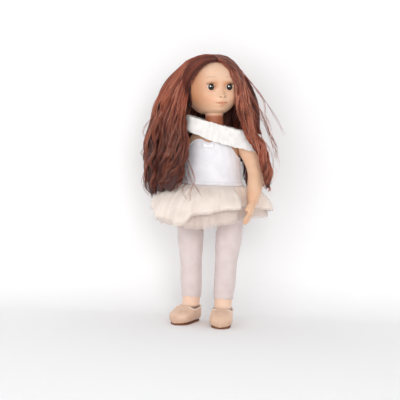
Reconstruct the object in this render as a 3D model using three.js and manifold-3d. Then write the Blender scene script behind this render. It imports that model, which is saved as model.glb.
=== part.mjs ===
// A jointed play doll, about 450 mm tall, dressed as a dancer: hollow vinyl head, arms and legs
// snap into a vinyl shoulder plate and a hip block in a stuffed cloth torso, and weighted eyes
// tip shut. Millimetres, +Z up. The doll faces -Y, its left is +X, and it stands on z = 0.
import * as THREE from "three";
import { LoftGeometry } from "three/addons/geometries/LoftGeometry.js";
import { mergeVertices } from "three/addons/utils/BufferGeometryUtils.js";
import Module from "manifold-3d";

const wasm = await Module();
wasm.setup();

// Clearances
const GAP = 0.3; // between two pieces that rest on each other
const RUNNING_GAP = 0.4; // round a stem, a flange or an axle that turns

// Heights of the joints
const HIP_HEIGHT = 196; // hip axis above the floor
const SHOULDER_ABOVE_HIP = 104;
const NECK_ABOVE_HIP = 135.5; // top of the shoulder plate
const CROTCH_BELOW_HIP = 24;

// Pose of the doll as it stands
const HEAD_TURN = 33; // degrees, towards the doll's left
const HEAD_TILT = -2.8; // degrees, below nought towards the doll's right shoulder
const LEFT_ARM_SWING = 0; // degrees, backwards
const RIGHT_ARM_SWING = 25;
const LEFT_FOOT_SPLAY = 8; // degrees that a foot points outwards
const RIGHT_FOOT_SPLAY = 17;

// Torso: half widths and half depths at heights above the hip axis
const TORSO_BACK = 1; // how far the middle of the torso lies behind the joints
const WAIST_ABOVE_HIP = 41; // the seam of the skirt
const TORSO = [
  { up: -CROTCH_BELOW_HIP, half: 13, deep: 14 },
  { up: -CROTCH_BELOW_HIP + 8, half: 26, deep: 25 },
  { up: 0, half: 46, deep: 33 },
  { up: WAIST_ABOVE_HIP - 23, half: 51, deep: 36.5 },
  { up: WAIST_ABOVE_HIP - 7, half: 50, deep: 36 },
  { up: WAIST_ABOVE_HIP + 17, half: 46, deep: 34 },
  { up: SHOULDER_ABOVE_HIP - 18, half: 44, deep: 34.5 },
  { up: SHOULDER_ABOVE_HIP, half: 43.5, deep: 33 },
  { up: NECK_ABOVE_HIP - 20, half: 40, deep: 28 },
  { up: NECK_ABOVE_HIP - 11, half: 32, deep: 24 },
  { up: NECK_ABOVE_HIP - 4, half: 23, deep: 20 },
  { up: NECK_ABOVE_HIP, half: 19, deep: 18 },
];
const PELVIS_HALF = 14; // half width of the torso between the legs

// Shoulder plate and the cloth torso that is tied to its lip
const PLATE_WALL = 4;
const PLATE_SEAM_BELOW_SHOULDER = 22;
const LIP_LENGTH = 12;
const LIP_INSET = 5.5; // from the torso's surface to the lip
const LIP_WALL = 2.5;
const TIE_WALL = 1.4;
const TIE_HEIGHT = 3.6;
const TORSO_SKIN = 1.6; // the cloth round the filling

// Neck and head
const NECK_R = 15;
const NECK_GROOVE_R = 12.5;
const NECK_FLANGE_R = 16.5;
const NECK_FLANGE = 5; // thickness
const NECK_PASSAGE = 12; // length of the hole through the plate
const NECK_BORE_R = 8;
const SKULL_HALF = 46;
const SKULL_FRONT = 44; // middle of the skull to the bare face
const SKULL_DEEP = 48; // middle of the skull to the back
const SKULL_SET_BACK = 11; // middle of the skull behind the neck
const SKULL_HIGH = 48;
const SKULL_ABOVE_NECK = 67; // middle of the skull above the plate
const SKULL_SQUARE = 2.4; // exponent of the plan, 2 is an ellipse
const JAW_TAPER = 0.2; // share of the width lost at the chin
const JAW_SQUARE = 2.8; // exponent of the lower half seen from the front or side
const HEAD_WALL = 4.5;
const NOSE_BELOW_EYES = 14;
const NOSE_OUT = 10;
const NOSE_SPREAD = 5.5;
const CHIN_BELOW_EYES = 38;
const CHIN_OUT = 7;
const CHIN_SPREAD = 11;
const MUZZLE_BELOW_EYES = 25;
const MUZZLE_OUT = 11;
const MUZZLE_SPREAD = 15;

// Eyes
const EYE_SPACING = 32;
const EYE_BELOW_MIDDLE = 3; // eye axis below the middle of the skull
const EYE_R = 8;
const EYE_OPENING_R = 6.2;
const EYELID_WALL = 0.6;
const EYELID_EDGE = 30; // degrees above the straight look
const IRIS_R = 4.4;
const ROCKER_R = 1.6;
const YOKE_OFFSET = 5.6; // from the middle of the rocker to each arm of its yoke
const YOKE_LENGTH = 14;
const YOKE_LEAN = 24; // degrees behind straight down
const WEIGHT_R = 3;
const BRACKET_HALF = 3.4;
const BRACKET_HIGH = 4.2;

// Arms, in the frame of the shoulder: x outwards from the face of the joint
const ARM_FACE = 44.5; // from the middle of the doll to the face of the shoulder joint
const ARM_CAP_R = 18.5; // round top of the arm
const ARM_CAP_OUT = 15; // middle of the round top from the face
const ARM_WALL = 2.6;
const ARM_STEM_R = 7;
const ARM_FLANGE_R = 10.5;
const FLANGE = 3; // thickness of the flanges of arms and legs
const ARM = [
  { at: [22, 0, -13], across: 18, deep: 17 },
  { at: [27, 0, -27], across: 16, deep: 15.8 },
  { at: [30.5, -1, -43], across: 14.2, deep: 14.4 },
  { at: [31.5, -8, -60], across: 13.2, deep: 13.6 },
  { at: [31.5, -16.5, -76], across: 11.4, deep: 12.2 },
  { at: [31, -25, -89.5], across: 8.8, deep: 9.6 },
];
const PALM = [
  { at: [30.6, -24, -87.5], across: 7.6, deep: 8.6 },
  { at: [30.2, -28, -95.5], across: 7, deep: 10.6 },
  { at: [29.4, -32, -104.5], across: 6, deep: 11 },
  { at: [28.6, -35, -110.5], across: 4.4, deep: 9.6 },
];
const FINGER_R = 3;
const FINGER_OVERLAP = 1.8; // fingers are moulded together side by side
const FINGER_LENGTHS = [15, 17.5, 17, 13]; // from the front of the hand to the back
const THUMB_R = 3.5;
const THUMB_LENGTH = 17;

// Legs, in the frame of the hip: x outwards from the face of the joint
const LEG_CAP_R = 24;
const LEG_CAP_OUT = 20; // middle of the cap from the face
const LEG_WALL = 2.8;
const LEG_STEM_R = 6;
const LEG_FLANGE_R = 8.5;
const KNEE_HEIGHT = 104;
const ANKLE_HEIGHT = 40;
const ANKLE_OUT = 13.5; // middle of the ankle from the face of the hip
const LEG = [
  { at: [LEG_CAP_OUT - 0.5, 0, -26], across: 21.8, deep: 22.6 },
  { at: [LEG_CAP_OUT - 2, -0.5, (KNEE_HEIGHT - HIP_HEIGHT) / 2 - 14], across: 20.4, deep: 21 },
  { at: [LEG_CAP_OUT - 4, -1, KNEE_HEIGHT - HIP_HEIGHT], across: 17.4, deep: 18 },
  { at: [ANKLE_OUT + 1.5, 1, (KNEE_HEIGHT + ANKLE_HEIGHT) / 2 - HIP_HEIGHT], across: 17.2, deep: 18.6 },
  { at: [ANKLE_OUT, 1, ANKLE_HEIGHT + 12 - HIP_HEIGHT], across: 16, deep: 16.4 },
  { at: [ANKLE_OUT, 0, ANKLE_HEIGHT - HIP_HEIGHT], across: 15, deep: 15.4 },
  { at: [ANKLE_OUT, 0, ANKLE_HEIGHT - 16 - HIP_HEIGHT], across: 14, deep: 14.6 },
];
const HIP_BLOCK_R = 11.5;
const HIP_BLOCK_HALF = 12.5;
const HIP_BLOCK_WALL = 3;

// Feet and slippers: half widths and heights along the foot, toes at negative places
const FOOT = [
  { along: 19, half: 5, high: 11 },
  { along: 16.5, half: 10, high: 19 },
  { along: 9, half: 13.6, high: 29 },
  { along: -2, half: 14.8, high: 33 },
  { along: -14, half: 16, high: 27 },
  { along: -28, half: 17.2, high: 19.5 },
  { along: -40, half: 15.4, high: 15 },
  { along: -47, half: 10.4, high: 12 },
  { along: -50, half: 5, high: 9 },
];
const SHOE_WALL = 1.9;
const SOLE = 3;
const SOLE_INSET = 1.2; // from the outline of the foot
const SHOE_TOP_SIDE = 21; // top line above the floor at the side of the foot
const SHOE_TOP_HEEL = 27;
const SHOE_THROAT = -18; // place along the foot where the opening begins

// Clothes
const TIGHTS_WALL = 0.9;
const TIGHTS_HEM = 43; // above the floor
const TIGHTS_WAIST = 17; // top of the tights above the waist seam
const LEOTARD_WALL = 1;
const NECKLINE_NOTCH = 4; // above the shoulder axis, in the middle
const NECKLINE_PEAK = 9;
const NECKLINE_PEAK_OUT = 17;
const NECKLINE_SIDE_BELOW = 12; // below the shoulder axis, under the arms
const BACK_NECKLINE_BELOW = 8;
const FASTENER_HALF = 6;
const FASTENER_LENGTH = 46;
const BOW_HALF = 9;
const BAND_HEIGHT = 5;
const BAND_WALL = 1.2;

// Skirt: two gathered layers of net
const NET_WALL = 0.9;
const SKIRT_FOLDS = 12;
const FOLD_DEPTH = 3;
const HEM_STEEP = 0.92; // share of upright that the net reaches at its hem
const HEM_SAG = 0.1; // share of the drop by which the hem sags further
const HEM_EASE = 1.5; // how late towards the hem its rise and fall begin
const OUTER_HEM = [
  // degrees round the body, 0 at the left and -90 in front, and height of the hem
  [-180, 190], [-166, 190], [-150, 180], [-135, 172], [-120, 167], [-109, 165], [-95, 184], [-80, 190],
  [-60, 197], [-40, 199], [-15, 198], [20, 191], [60, 181], [100, 175], [140, 178], [166, 187], [180, 190],
];
const INNER_HEM = [
  [-180, 172], [-150, 168], [-120, 164], [-95, 162], [-80, 164], [-60, 172], [-40, 177], [0, 179],
  [60, 170], [120, 166], [150, 168], [180, 172],
];
const OUTER_FLARE = 50;
const OUTER_DROP = 46;
const INNER_FLARE = 40;
const INNER_DROP = 56;
const DENT_HALF_ANGLE = 24; // degrees of skirt that an arm presses in
const DENT_SHARE = 0.8;

// Collar: a frilled band that has slipped off the left shoulder
const COLLAR_HALF = 15;
const COLLAR_WALL = 2.4;
const COLLAR_LEAN = 0.22; // inwards for each millimetre up
const COLLAR_FRILLS = 16;
const FRILL_DEPTH = 1.6;

// Hair
const CAP_THICK = 7;
const CAP_FORWARD = 4; // so the cap is this much thinner at the back
const HAIR_WAVE = 2.4;
const HAIR_WAVES = 3;

// Places that several pieces share
const SHOULDER_HEIGHT = HIP_HEIGHT + SHOULDER_ABOVE_HIP;
const NECK_HEIGHT = HIP_HEIGHT + NECK_ABOVE_HIP;
const WAIST_HEIGHT = HIP_HEIGHT + WAIST_ABOVE_HIP;
const SEAM_HEIGHT = SHOULDER_HEIGHT - PLATE_SEAM_BELOW_SHOULDER;
const HIP_SOCKET_R = LEG_CAP_R + GAP + TIGHTS_WALL + RUNNING_GAP;
const LEG_FACE = PELVIS_HALF + RUNNING_GAP;
const TIGHTS_OUT = GAP + TIGHTS_WALL;
const LEOTARD_IN = TIGHTS_OUT + GAP;
const LEOTARD_OUT = LEOTARD_IN + LEOTARD_WALL;
const FOOT_BASE = SOLE + GAP + SHOE_WALL + GAP;
const EYELID_R = EYE_R + GAP + EYELID_WALL;
const EYE_SOCKET_R = EYELID_R + RUNNING_GAP;
const EYE_ABOVE_NECK = SKULL_ABOVE_NECK - EYE_BELOW_MIDDLE;
const FAR = 400; // larger than the doll's reach, for half-space cutters

// Materials
const paint = (color, roughness, metalness = 0) =>
  new THREE.MeshStandardMaterial({ color, roughness, metalness });
const SKIN = paint("#e6b791", 0.5);
const HAIR = paint("#5a2c20", 0.45);
const WHITE_CLOTH = paint("#f3f2f4", 0.8);
const RUFFLE_CLOTH = paint("#f4f1ec", 0.9);
const NET = paint("#eddccb", 0.9);
const TIGHTS = paint("#ead9d5", 0.75);
const SLIPPER = paint("#e8c3a4", 0.4);
const SOLE_SUEDE = paint("#8a5a3c", 0.9);
const FLESH_CLOTH = paint("#dcb08c", 0.9);
const FILLING = paint("#f7f7f5", 1);
const HARD_PLASTIC = paint("#d9d4cc", 0.5);
const EYE_WHITE = paint("#f5f4f0", 0.2);
const IRIS = paint("#2c3238", 0.05);
const STEEL = paint("#7b7d80", 0.35, 0.9);

// Solids
const radians = THREE.MathUtils.degToRad;
const vec = (x, y, z) => new THREE.Vector3(x, y, z);

// A closed geometry as a solid, turned the right way out.
function solid(geometry) {
  const bare = new THREE.BufferGeometry();
  bare.setAttribute("position", geometry.attributes.position);
  bare.setIndex(geometry.index);
  const merged = mergeVertices(bare, 1e-4);
  const build = (triVerts) =>
    new wasm.Manifold(
      new wasm.Mesh({ numProp: 3, vertProperties: merged.attributes.position.array, triVerts }),
    );
  const facing = Uint32Array.from(merged.index.array);
  const made = build(facing);
  return made.volume() < 0 ? build(facing.reverse()) : made;
}

// The largest body of a solid, without the crumbs that a cut leaves.
function largest(body) {
  const pieces = body.decompose();
  return pieces.reduce((best, piece) => (piece.volume() > best.volume() ? piece : best));
}

function geometryOf(body) {
  const { vertProperties, triVerts } = body.getMesh();
  const geometry = new THREE.BufferGeometry();
  geometry.setAttribute("position", new THREE.BufferAttribute(Float32Array.from(vertProperties), 3));
  geometry.setIndex(Array.from(triVerts));
  geometry.computeVertexNormals();
  return geometry;
}

const doll = new THREE.Group();
doll.name = "doll";

function piece(name, body, material, parent = doll) {
  const mesh = new THREE.Mesh(geometryOf(largest(body)), material);
  mesh.name = name;
  parent.add(mesh);
  return mesh;
}

// A solid moved from a group's frame to the doll's.
function inDoll(body, group) {
  group.updateMatrixWorld(true);
  return solid(geometryOf(body).applyMatrix4(group.matrixWorld));
}

const box = (low, high) =>
  solid(
    new THREE.BoxGeometry(high.x - low.x, high.y - low.y, high.z - low.z).translate(
      (low.x + high.x) / 2,
      (low.y + high.y) / 2,
      (low.z + high.z) / 2,
    ),
  );

const ball = (radius, at, sides = 16) =>
  solid(new THREE.SphereGeometry(radius, sides, sides * 0.75).translate(at.x, at.y, at.z));

// A turned solid about the X axis: [place along X, radius] pairs from end to end.
function turnedX(profile, sides = 12) {
  const points = profile.map(([along, radius]) => new THREE.Vector2(radius, along));
  return solid(new THREE.LatheGeometry(points, sides).rotateZ(-Math.PI / 2));
}

const rodX = (from, to, radius, sides = 12) =>
  turnedX([[from, 0], [from, radius], [to, radius], [to, 0]], sides);

// The value of a table of rows at a place, on a smooth curve through the rows.
function smoothAt(table, place, key, place_key) {
  const sign = Math.sign(table[table.length - 1][place_key] - table[0][place_key]);
  const last = table.length - 1;
  let i = table.findIndex((row) => (row[place_key] - place) * sign > 0) - 1;
  if (i < 0) i = (place - table[0][place_key]) * sign <= 0 ? 0 : last - 1;
  const [a, b] = [table[i], table[i + 1]];
  const span = b[place_key] - a[place_key];
  const slope = (low, high) =>
    (table[high][key] - table[low][key]) / (table[high][place_key] - table[low][place_key]);
  const t = THREE.MathUtils.clamp((place - a[place_key]) / span, 0, 1);
  const before = slope(Math.max(i - 1, 0), i + 1) * span;
  const after = slope(i, Math.min(i + 2, last)) * span;
  const [t2, t3] = [t * t, t * t * t];
  return (
    a[key] * (2 * t3 - 3 * t2 + 1) + before * (t3 - 2 * t2 + t) +
    b[key] * (3 * t2 - 2 * t3) + after * (t3 - t2)
  );
}

// A soft tube through stations of { at, across, deep }. The reference direction carries across.
function tube(stations, { grow = 0, steps = 7, sides = 10, reference = [1, 0, 0], wave = 0 } = {}) {
  const path = new THREE.CatmullRomCurve3(stations.map((s) => vec(...s.at)), false, "catmullrom");
  const girth = new THREE.CatmullRomCurve3(
    stations.map((s) => vec(s.across, s.deep, 0)), false, "catmullrom",
  );
  const rings = [];
  for (let k = 0; k <= steps; k += 1) {
    const share = k / steps;
    const along = path.getTangent(share);
    const u = vec(...reference).addScaledVector(along, -along.dot(vec(...reference))).normalize();
    const v = along.clone().cross(u);
    const end = k === 0 ? -grow : k === steps ? grow : 0;
    const middle = path.getPoint(share).addScaledVector(along, end);
    middle.addScaledVector(v, wave * Math.sin(share * HAIR_WAVES * 2 * Math.PI) * share);
    const radii = girth.getPoint(share);
    rings.push(
      Array.from({ length: sides }, (_, j) => {
        const angle = (j / sides) * 2 * Math.PI;
        return middle.clone()
          .addScaledVector(u, (radii.x + grow) * Math.cos(angle))
          .addScaledVector(v, (radii.y + grow) * Math.sin(angle));
      }),
    );
  }
  return solid(new LoftGeometry(rings, { capStart: true, capEnd: true }));
}

// Torso shapes
const TORSO_RINGS = 10;
const TORSO_SIDES = 16;
const ringPitch = (CROTCH_BELOW_HIP + NECK_ABOVE_HIP) / TORSO_RINGS;
const ringHeights = Array.from(
  { length: TORSO_RINGS + 1 }, (_, k) => HIP_HEIGHT - CROTCH_BELOW_HIP + k * ringPitch,
);
// A size of the torso at a height, straight between its rings so that layers of cloth nest.
function torsoSize(height, key) {
  const place = THREE.MathUtils.clamp((height - ringHeights[0]) / ringPitch, 0, TORSO_RINGS);
  const below = Math.min(Math.floor(place), TORSO_RINGS - 1);
  const [low, high] = [below, below + 1].map((k) =>
    smoothAt(TORSO, ringHeights[k] - HIP_HEIGHT, key, "up"),
  );
  return THREE.MathUtils.lerp(low, high, place - below);
}
const torsoHalf = (height, grow) => torsoSize(height, "half") + grow;
const torsoDeep = (height, grow) => torsoSize(height, "deep") + grow;

function torso(low, high, grow = 0) {
  const between = ringHeights.filter((height) => height > low + 0.5 && height < high - 0.5);
  const rings = [low, ...between, high].map((height) => {
    return Array.from({ length: TORSO_SIDES }, (_, j) => {
      const angle = (j / TORSO_SIDES) * 2 * Math.PI;
      const x = torsoHalf(height, grow) * Math.cos(angle);
      return vec(x, TORSO_BACK + torsoDeep(height, grow) * Math.sin(angle), height);
    });
  });
  return solid(new LoftGeometry(rings, { capStart: true, capEnd: true }));
}

// Room for both thighs beside the pelvis, and for both shoulder caps beside the chest.
const hipRoom = [-1, 1]
  .map((side) => {
    const top = HIP_HEIGHT + HIP_SOCKET_R;
    const [near, far] = [side * PELVIS_HALF, side * FAR].sort((a, b) => a - b);
    return box(vec(near, -FAR, -FAR), vec(far, FAR, top));
  })
  .reduce((all, part) => all.add(part));

const shoulderRoom = [-1, 1]
  .map((side) => {
    const near = torsoHalf(SHOULDER_HEIGHT, -PLATE_WALL / 2);
    const geometry = new THREE.CylinderGeometry(ARM_CAP_R + 1, ARM_CAP_R + 1, FAR, 24);
    geometry.rotateZ(Math.PI / 2).translate(side * (near + FAR / 2), 0, SHOULDER_HEIGHT);
    return solid(geometry);
  })
  .reduce((all, part) => all.add(part));

// Cloth torso with its filling, and the hip block sewn into the pelvis
const torsoTop = SEAM_HEIGHT - GAP;
const crotch = HIP_HEIGHT - CROTCH_BELOW_HIP;
const lipLow = SEAM_HEIGHT - LIP_LENGTH;
const hipBore = (grow) =>
  solid(
    new THREE.CylinderGeometry(HIP_BLOCK_R + grow, HIP_BLOCK_R + grow, FAR, 20)
      .rotateZ(Math.PI / 2)
      .translate(0, 0, HIP_HEIGHT),
  );
const lipRoom = torso(lipLow - GAP, SEAM_HEIGHT + 1, -LIP_INSET + TIE_WALL + GAP);
const torsoBody = torso(crotch, torsoTop).subtract(hipRoom);
const fillingShape = torso(crotch + TORSO_SKIN, lipLow - GAP - TORSO_SKIN, -TORSO_SKIN)
  .subtract(box(vec(-FAR, -FAR, -FAR), vec(FAR, FAR, HIP_HEIGHT + HIP_SOCKET_R + TORSO_SKIN)));
const fillingRoom = torso(
  HIP_HEIGHT + HIP_SOCKET_R + TORSO_SKIN - GAP, lipLow, -TORSO_SKIN + GAP,
);
piece(
  "torso_cloth",
  torsoBody.subtract(hipBore(GAP)).subtract(lipRoom).subtract(fillingRoom),
  FLESH_CLOTH,
);
piece("torso_filling", fillingShape, FILLING);

const blockEnd = HIP_BLOCK_HALF;
const chamberEnd = HIP_BLOCK_HALF - HIP_BLOCK_WALL;
const blockHole = LEG_STEM_R + RUNNING_GAP;
const chamberR = LEG_FLANGE_R + RUNNING_GAP;
const hipBlock = turnedX([
  [-blockEnd, blockHole], [-blockEnd, HIP_BLOCK_R], [blockEnd, HIP_BLOCK_R], [blockEnd, blockHole],
  [chamberEnd, blockHole], [chamberEnd, chamberR], [-chamberEnd, chamberR], [-chamberEnd, blockHole],
  [-blockEnd, blockHole],
]);
const hipLevel = new THREE.Group();
hipLevel.position.set(0, 0, HIP_HEIGHT);
doll.add(hipLevel);
piece("hip_block", hipBlock, HARD_PLASTIC, hipLevel);

// Shoulder plate, with holes for the neck and the arms, and the tie that grips the cloth
const plateHollow = torso(
  SEAM_HEIGHT + PLATE_WALL, NECK_HEIGHT - NECK_PASSAGE, -PLATE_WALL,
).add(torso(lipLow - 1, SEAM_HEIGHT + PLATE_WALL + 1, -LIP_INSET - LIP_WALL));
const neckHole = solid(
  new THREE.CylinderGeometry(NECK_GROOVE_R + RUNNING_GAP, NECK_GROOVE_R + RUNNING_GAP, 60, 24)
    .rotateX(Math.PI / 2)
    .translate(0, 0, NECK_HEIGHT),
);
const armHoles = rodX(-FAR, FAR, ARM_STEM_R + RUNNING_GAP);
const armLevel = new THREE.Group();
armLevel.position.set(0, 0, SHOULDER_HEIGHT);
doll.add(armLevel);
piece(
  "shoulder_plate",
  torso(SEAM_HEIGHT, NECK_HEIGHT)
    .add(torso(lipLow, SEAM_HEIGHT + 1, -LIP_INSET))
    .subtract(plateHollow)
    .subtract(neckHole)
    .subtract(inDoll(armHoles, armLevel)),
  SKIN,
);
const tieLow = (lipLow + SEAM_HEIGHT - TIE_HEIGHT) / 2;
piece(
  "plate_tie",
  torso(tieLow, tieLow + TIE_HEIGHT, -LIP_INSET + TIE_WALL).subtract(
    torso(tieLow - 1, tieLow + TIE_HEIGHT + 1, -LIP_INSET + GAP),
  ),
  HARD_PLASTIC,
);

// Arms
// One finger or thumb: a short tapering tube with a round tip.
function digit(from, direction, length, radius) {
  const place = (share) => from.clone().addScaledVector(direction, length * share).toArray();
  const station = (share, girth) => ({ at: place(share), across: radius * girth, deep: radius * girth });
  const stations = [station(-0.25, 0.9), station(0.4, 1), station(0.85, 0.85), station(1, 0.35)];
  return tube(stations, { steps: 3, sides: 6 });
}

function hand() {
  const palm = tube(PALM, { steps: 3, sides: 8 });
  const [wrist, knuckles] = [vec(...PALM[0].at), vec(...PALM[PALM.length - 1].at)];
  const down = knuckles.clone().sub(wrist).normalize();
  const forward = vec(1, 0, 0).cross(down).normalize();
  const pitch = 2 * FINGER_R - FINGER_OVERLAP;
  const middle = (FINGER_LENGTHS.length - 1) / 2;
  const fingers = FINGER_LENGTHS.map((length, k) => {
    const from = knuckles.clone().addScaledVector(forward, (k - middle) * pitch);
    const direction = down.clone().addScaledVector(vec(1, 0, 0), -0.18).normalize();
    return digit(from, direction, length, FINGER_R);
  });
  const root = vec(...PALM[1].at).addScaledVector(forward, -PALM[1].deep * 0.7);
  const aside = down.clone().addScaledVector(forward, -0.45).addScaledVector(vec(1, 0, 0), -0.35);
  return fingers.concat(digit(root, aside.normalize(), THUMB_LENGTH, THUMB_R))
    .reduce((all, part) => all.add(part), palm);
}

// Stations of a half ball on top of a limb, from its pole to just above its middle.
const roundTop = (radius, out) =>
  [84, 55, 27, 0].map((degrees) => {
    const girth = radius * Math.cos(radians(degrees));
    return { at: [out, 0, radius * Math.sin(radians(degrees))], across: girth, deep: girth };
  });
const bodySide = box(vec(-FAR, -FAR, -FAR), vec(0, FAR, FAR));
const ARM_LINE = [...roundTop(ARM_CAP_R, ARM_CAP_OUT), ...ARM];

// The outside of a left arm, grown where something else has to clear it.
const armShape = (grow = 0) => tube(ARM_LINE, { grow, steps: 12 }).subtract(bodySide);

function arm() {
  const roomBeside = [-1, 1].map((sign) => {
    const height = SHOULDER_HEIGHT + sign * ARM_FLANGE_R;
    const curve = Math.sqrt(1 - (ARM_FLANGE_R / torsoDeep(height, -PLATE_WALL)) ** 2);
    return torsoHalf(height, -PLATE_WALL) * curve * Math.cos(Math.PI / TORSO_SIDES);
  });
  const insideWall = ARM_FACE - Math.min(...roomBeside) + RUNNING_GAP;
  const stem = turnedX([
    [2, 0], [2, ARM_STEM_R], [-insideWall, ARM_STEM_R], [-insideWall, ARM_FLANGE_R],
    [-insideWall - FLANGE, ARM_FLANGE_R], [-insideWall - FLANGE, 0],
  ]);
  const inside = box(vec(-FAR, -FAR, -FAR), vec(ARM_WALL, FAR, FAR));
  const hollow = tube(ARM_LINE.slice(1, -1), { grow: -ARM_WALL, steps: 6, sides: 7 })
    .subtract(inside)
    .add(rodX(-FAR, ARM_CAP_OUT, ARM_STEM_R - ARM_WALL, 8));
  return armShape().add(hand()).add(stem).subtract(hollow);
}

// A left piece turned into the right one.
function mirrored(body) {
  return solid(geometryOf(body).scale(-1, 1, 1));
}

const SIDES = [
  { side: "left", sign: 1, swing: LEFT_ARM_SWING, splay: LEFT_FOOT_SPLAY },
  { side: "right", sign: -1, swing: RIGHT_ARM_SWING, splay: RIGHT_FOOT_SPLAY },
];
const handed = (body, sign) => (sign > 0 ? body : mirrored(body));

const leftArm = arm();
const armRoom = {};
const palmAt = {};
for (const { side, sign, swing } of SIDES) {
  const group = new THREE.Group();
  group.position.set(sign * ARM_FACE, 0, SHOULDER_HEIGHT);
  group.rotation.x = radians(swing);
  doll.add(group);
  piece(`arm_${side}`, handed(leftArm, sign), SKIN, group);
  armRoom[side] = inDoll(handed(armShape(GAP).add(hand()), sign), group);
  const [palmX, palmY, palmZ] = PALM[1].at;
  palmAt[side] = group.localToWorld(vec(sign * palmX, palmY, palmZ));
}

// Legs with tights and slippers
const LEG_LINE = [...roundTop(LEG_CAP_R, LEG_CAP_OUT), ...LEG];
const legShape = (grow) => tube(LEG_LINE, { grow, steps: 12 }).subtract(bodySide);

const footHalf = (along, grow) => smoothAt(FOOT, along, "half", "along") + grow;

// A shape along the foot, toes at negative y, moved to the frame of a left leg.
function footPlaced(geometry, splay) {
  return geometry.rotateZ(radians(splay)).translate(ANKLE_OUT, 0, -HIP_HEIGHT);
}

// A foot as a loft from heel to toe with a flat underside.
function foot(splay, grow = 0) {
  const [heel, toe] = [FOOT[0].along + grow, FOOT[FOOT.length - 1].along - grow];
  const steps = 8;
  const sides = 10;
  const rings = Array.from({ length: steps + 1 }, (_, k) => {
    const along = heel + ((toe - heel) * k) / steps;
    const half = footHalf(along, grow);
    const high = smoothAt(FOOT, along, "high", "along") + 2 * grow;
    return Array.from({ length: sides }, (_, j) => {
      const angle = (j / sides) * 2 * Math.PI;
      const [side, rise] = [Math.cos(angle), Math.sin(angle)];
      const flat = rise < 0 ? -Math.min(1, 1.1 * Math.sqrt(-rise)) : rise;
      const z = FOOT_BASE - grow + (high / 2) * (1 + flat);
      return vec(half * Math.sign(side) * Math.abs(side) ** 0.7, along, z);
    });
  });
  return solid(footPlaced(new LoftGeometry(rings, { capStart: true, capEnd: true }), splay));
}

function leg(splay) {
  const wall = LEG_FACE - chamberEnd + RUNNING_GAP;
  const stem = turnedX([
    [2, 0], [2, LEG_STEM_R], [-wall, LEG_STEM_R], [-wall, LEG_FLANGE_R],
    [-wall - FLANGE, LEG_FLANGE_R], [-wall - FLANGE, 0],
  ]);
  const inside = box(vec(-FAR, -FAR, -FAR), vec(LEG_WALL, FAR, FAR));
  const hollow = tube(LEG_LINE.slice(1, -1), { grow: -LEG_WALL, steps: 6, sides: 7 })
    .subtract(inside)
    .add(rodX(-FAR, LEG_CAP_OUT, LEG_STEM_R - LEG_WALL, 8));
  return legShape(0).add(foot(splay)).add(stem).subtract(hollow);
}

function tightsLeg() {
  const below = box(vec(-FAR, -FAR, -FAR), vec(FAR, FAR, TIGHTS_HEM - HIP_HEIGHT));
  const inside = box(vec(-FAR, -FAR, -FAR), vec(GAP, FAR, FAR));
  return legShape(TIGHTS_OUT).subtract(legShape(GAP)).subtract(below).subtract(inside);
}

// The opening of the slipper: what lies above its top line and behind its throat.
function shoeOpening(splay) {
  const [heel, toe] = [FOOT[0].along + 20, SHOE_THROAT];
  const line = new THREE.Shape();
  line.moveTo(toe - 4, SHOE_TOP_HEEL + 30);
  line.lineTo(toe, SHOE_TOP_HEEL + 3);
  line.quadraticCurveTo(toe + 1, SHOE_TOP_SIDE, toe + 10, SHOE_TOP_SIDE);
  line.quadraticCurveTo(heel - 26, SHOE_TOP_SIDE, heel - 16, SHOE_TOP_HEEL);
  line.lineTo(heel, SHOE_TOP_HEEL);
  line.lineTo(heel, SHOE_TOP_HEEL + 30);
  const cut = new THREE.ExtrudeGeometry(line, { depth: 100, bevelEnabled: false, curveSegments: 4 });
  cut.translate(0, 0, -50).rotateZ(Math.PI / 2).rotateY(Math.PI / 2);
  return solid(footPlaced(cut, splay));
}

function slipper(splay) {
  const upper = foot(splay, GAP + SHOE_WALL).subtract(foot(splay, GAP));
  return upper.subtract(legShape(GAP)).subtract(shoeOpening(splay));
}

function sole(splay) {
  const [heel, toe] = [FOOT[0].along, FOOT[FOOT.length - 1].along];
  const grow = -SOLE_INSET;
  const steps = 12;
  const edge = Array.from({ length: steps + 1 }, (_, k) => heel + ((toe - heel) * k) / steps);
  const outline = [
    ...edge.map((along) => new THREE.Vector2(footHalf(along, grow), along)),
    ...edge.reverse().map((along) => new THREE.Vector2(-footHalf(along, grow), along)),
  ];
  const plate = new THREE.ExtrudeGeometry(new THREE.Shape(outline), { depth: SOLE, bevelEnabled: false });
  return solid(footPlaced(plate, splay));
}

// The pieces of a leg, shaped for the left side.
const legPieces = (splay) => ({
  leg: [leg(splay), SKIN],
  tights_leg: [tightsLeg(), TIGHTS],
  slipper: [slipper(splay), SLIPPER],
  slipper_sole: [sole(splay), SOLE_SUEDE],
});
for (const { side, sign, splay } of SIDES) {
  const group = new THREE.Group();
  group.position.set(sign * LEG_FACE, 0, HIP_HEIGHT);
  doll.add(group);
  for (const [name, [body, material]] of Object.entries(legPieces(splay))) {
    piece(`${name}_${side}`, handed(body, sign), material, group);
  }
}

// Tights round the hips, and the leotard over them
const torsoShell = (low, high, inner, outer) =>
  torso(low, high, outer).subtract(torso(low - 10, high + 1, inner)).subtract(hipRoom);
const tightsTop = WAIST_HEIGHT + TIGHTS_WAIST;
piece("tights_waist", torsoShell(crotch, tightsTop, GAP, TIGHTS_OUT), TIGHTS);

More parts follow.
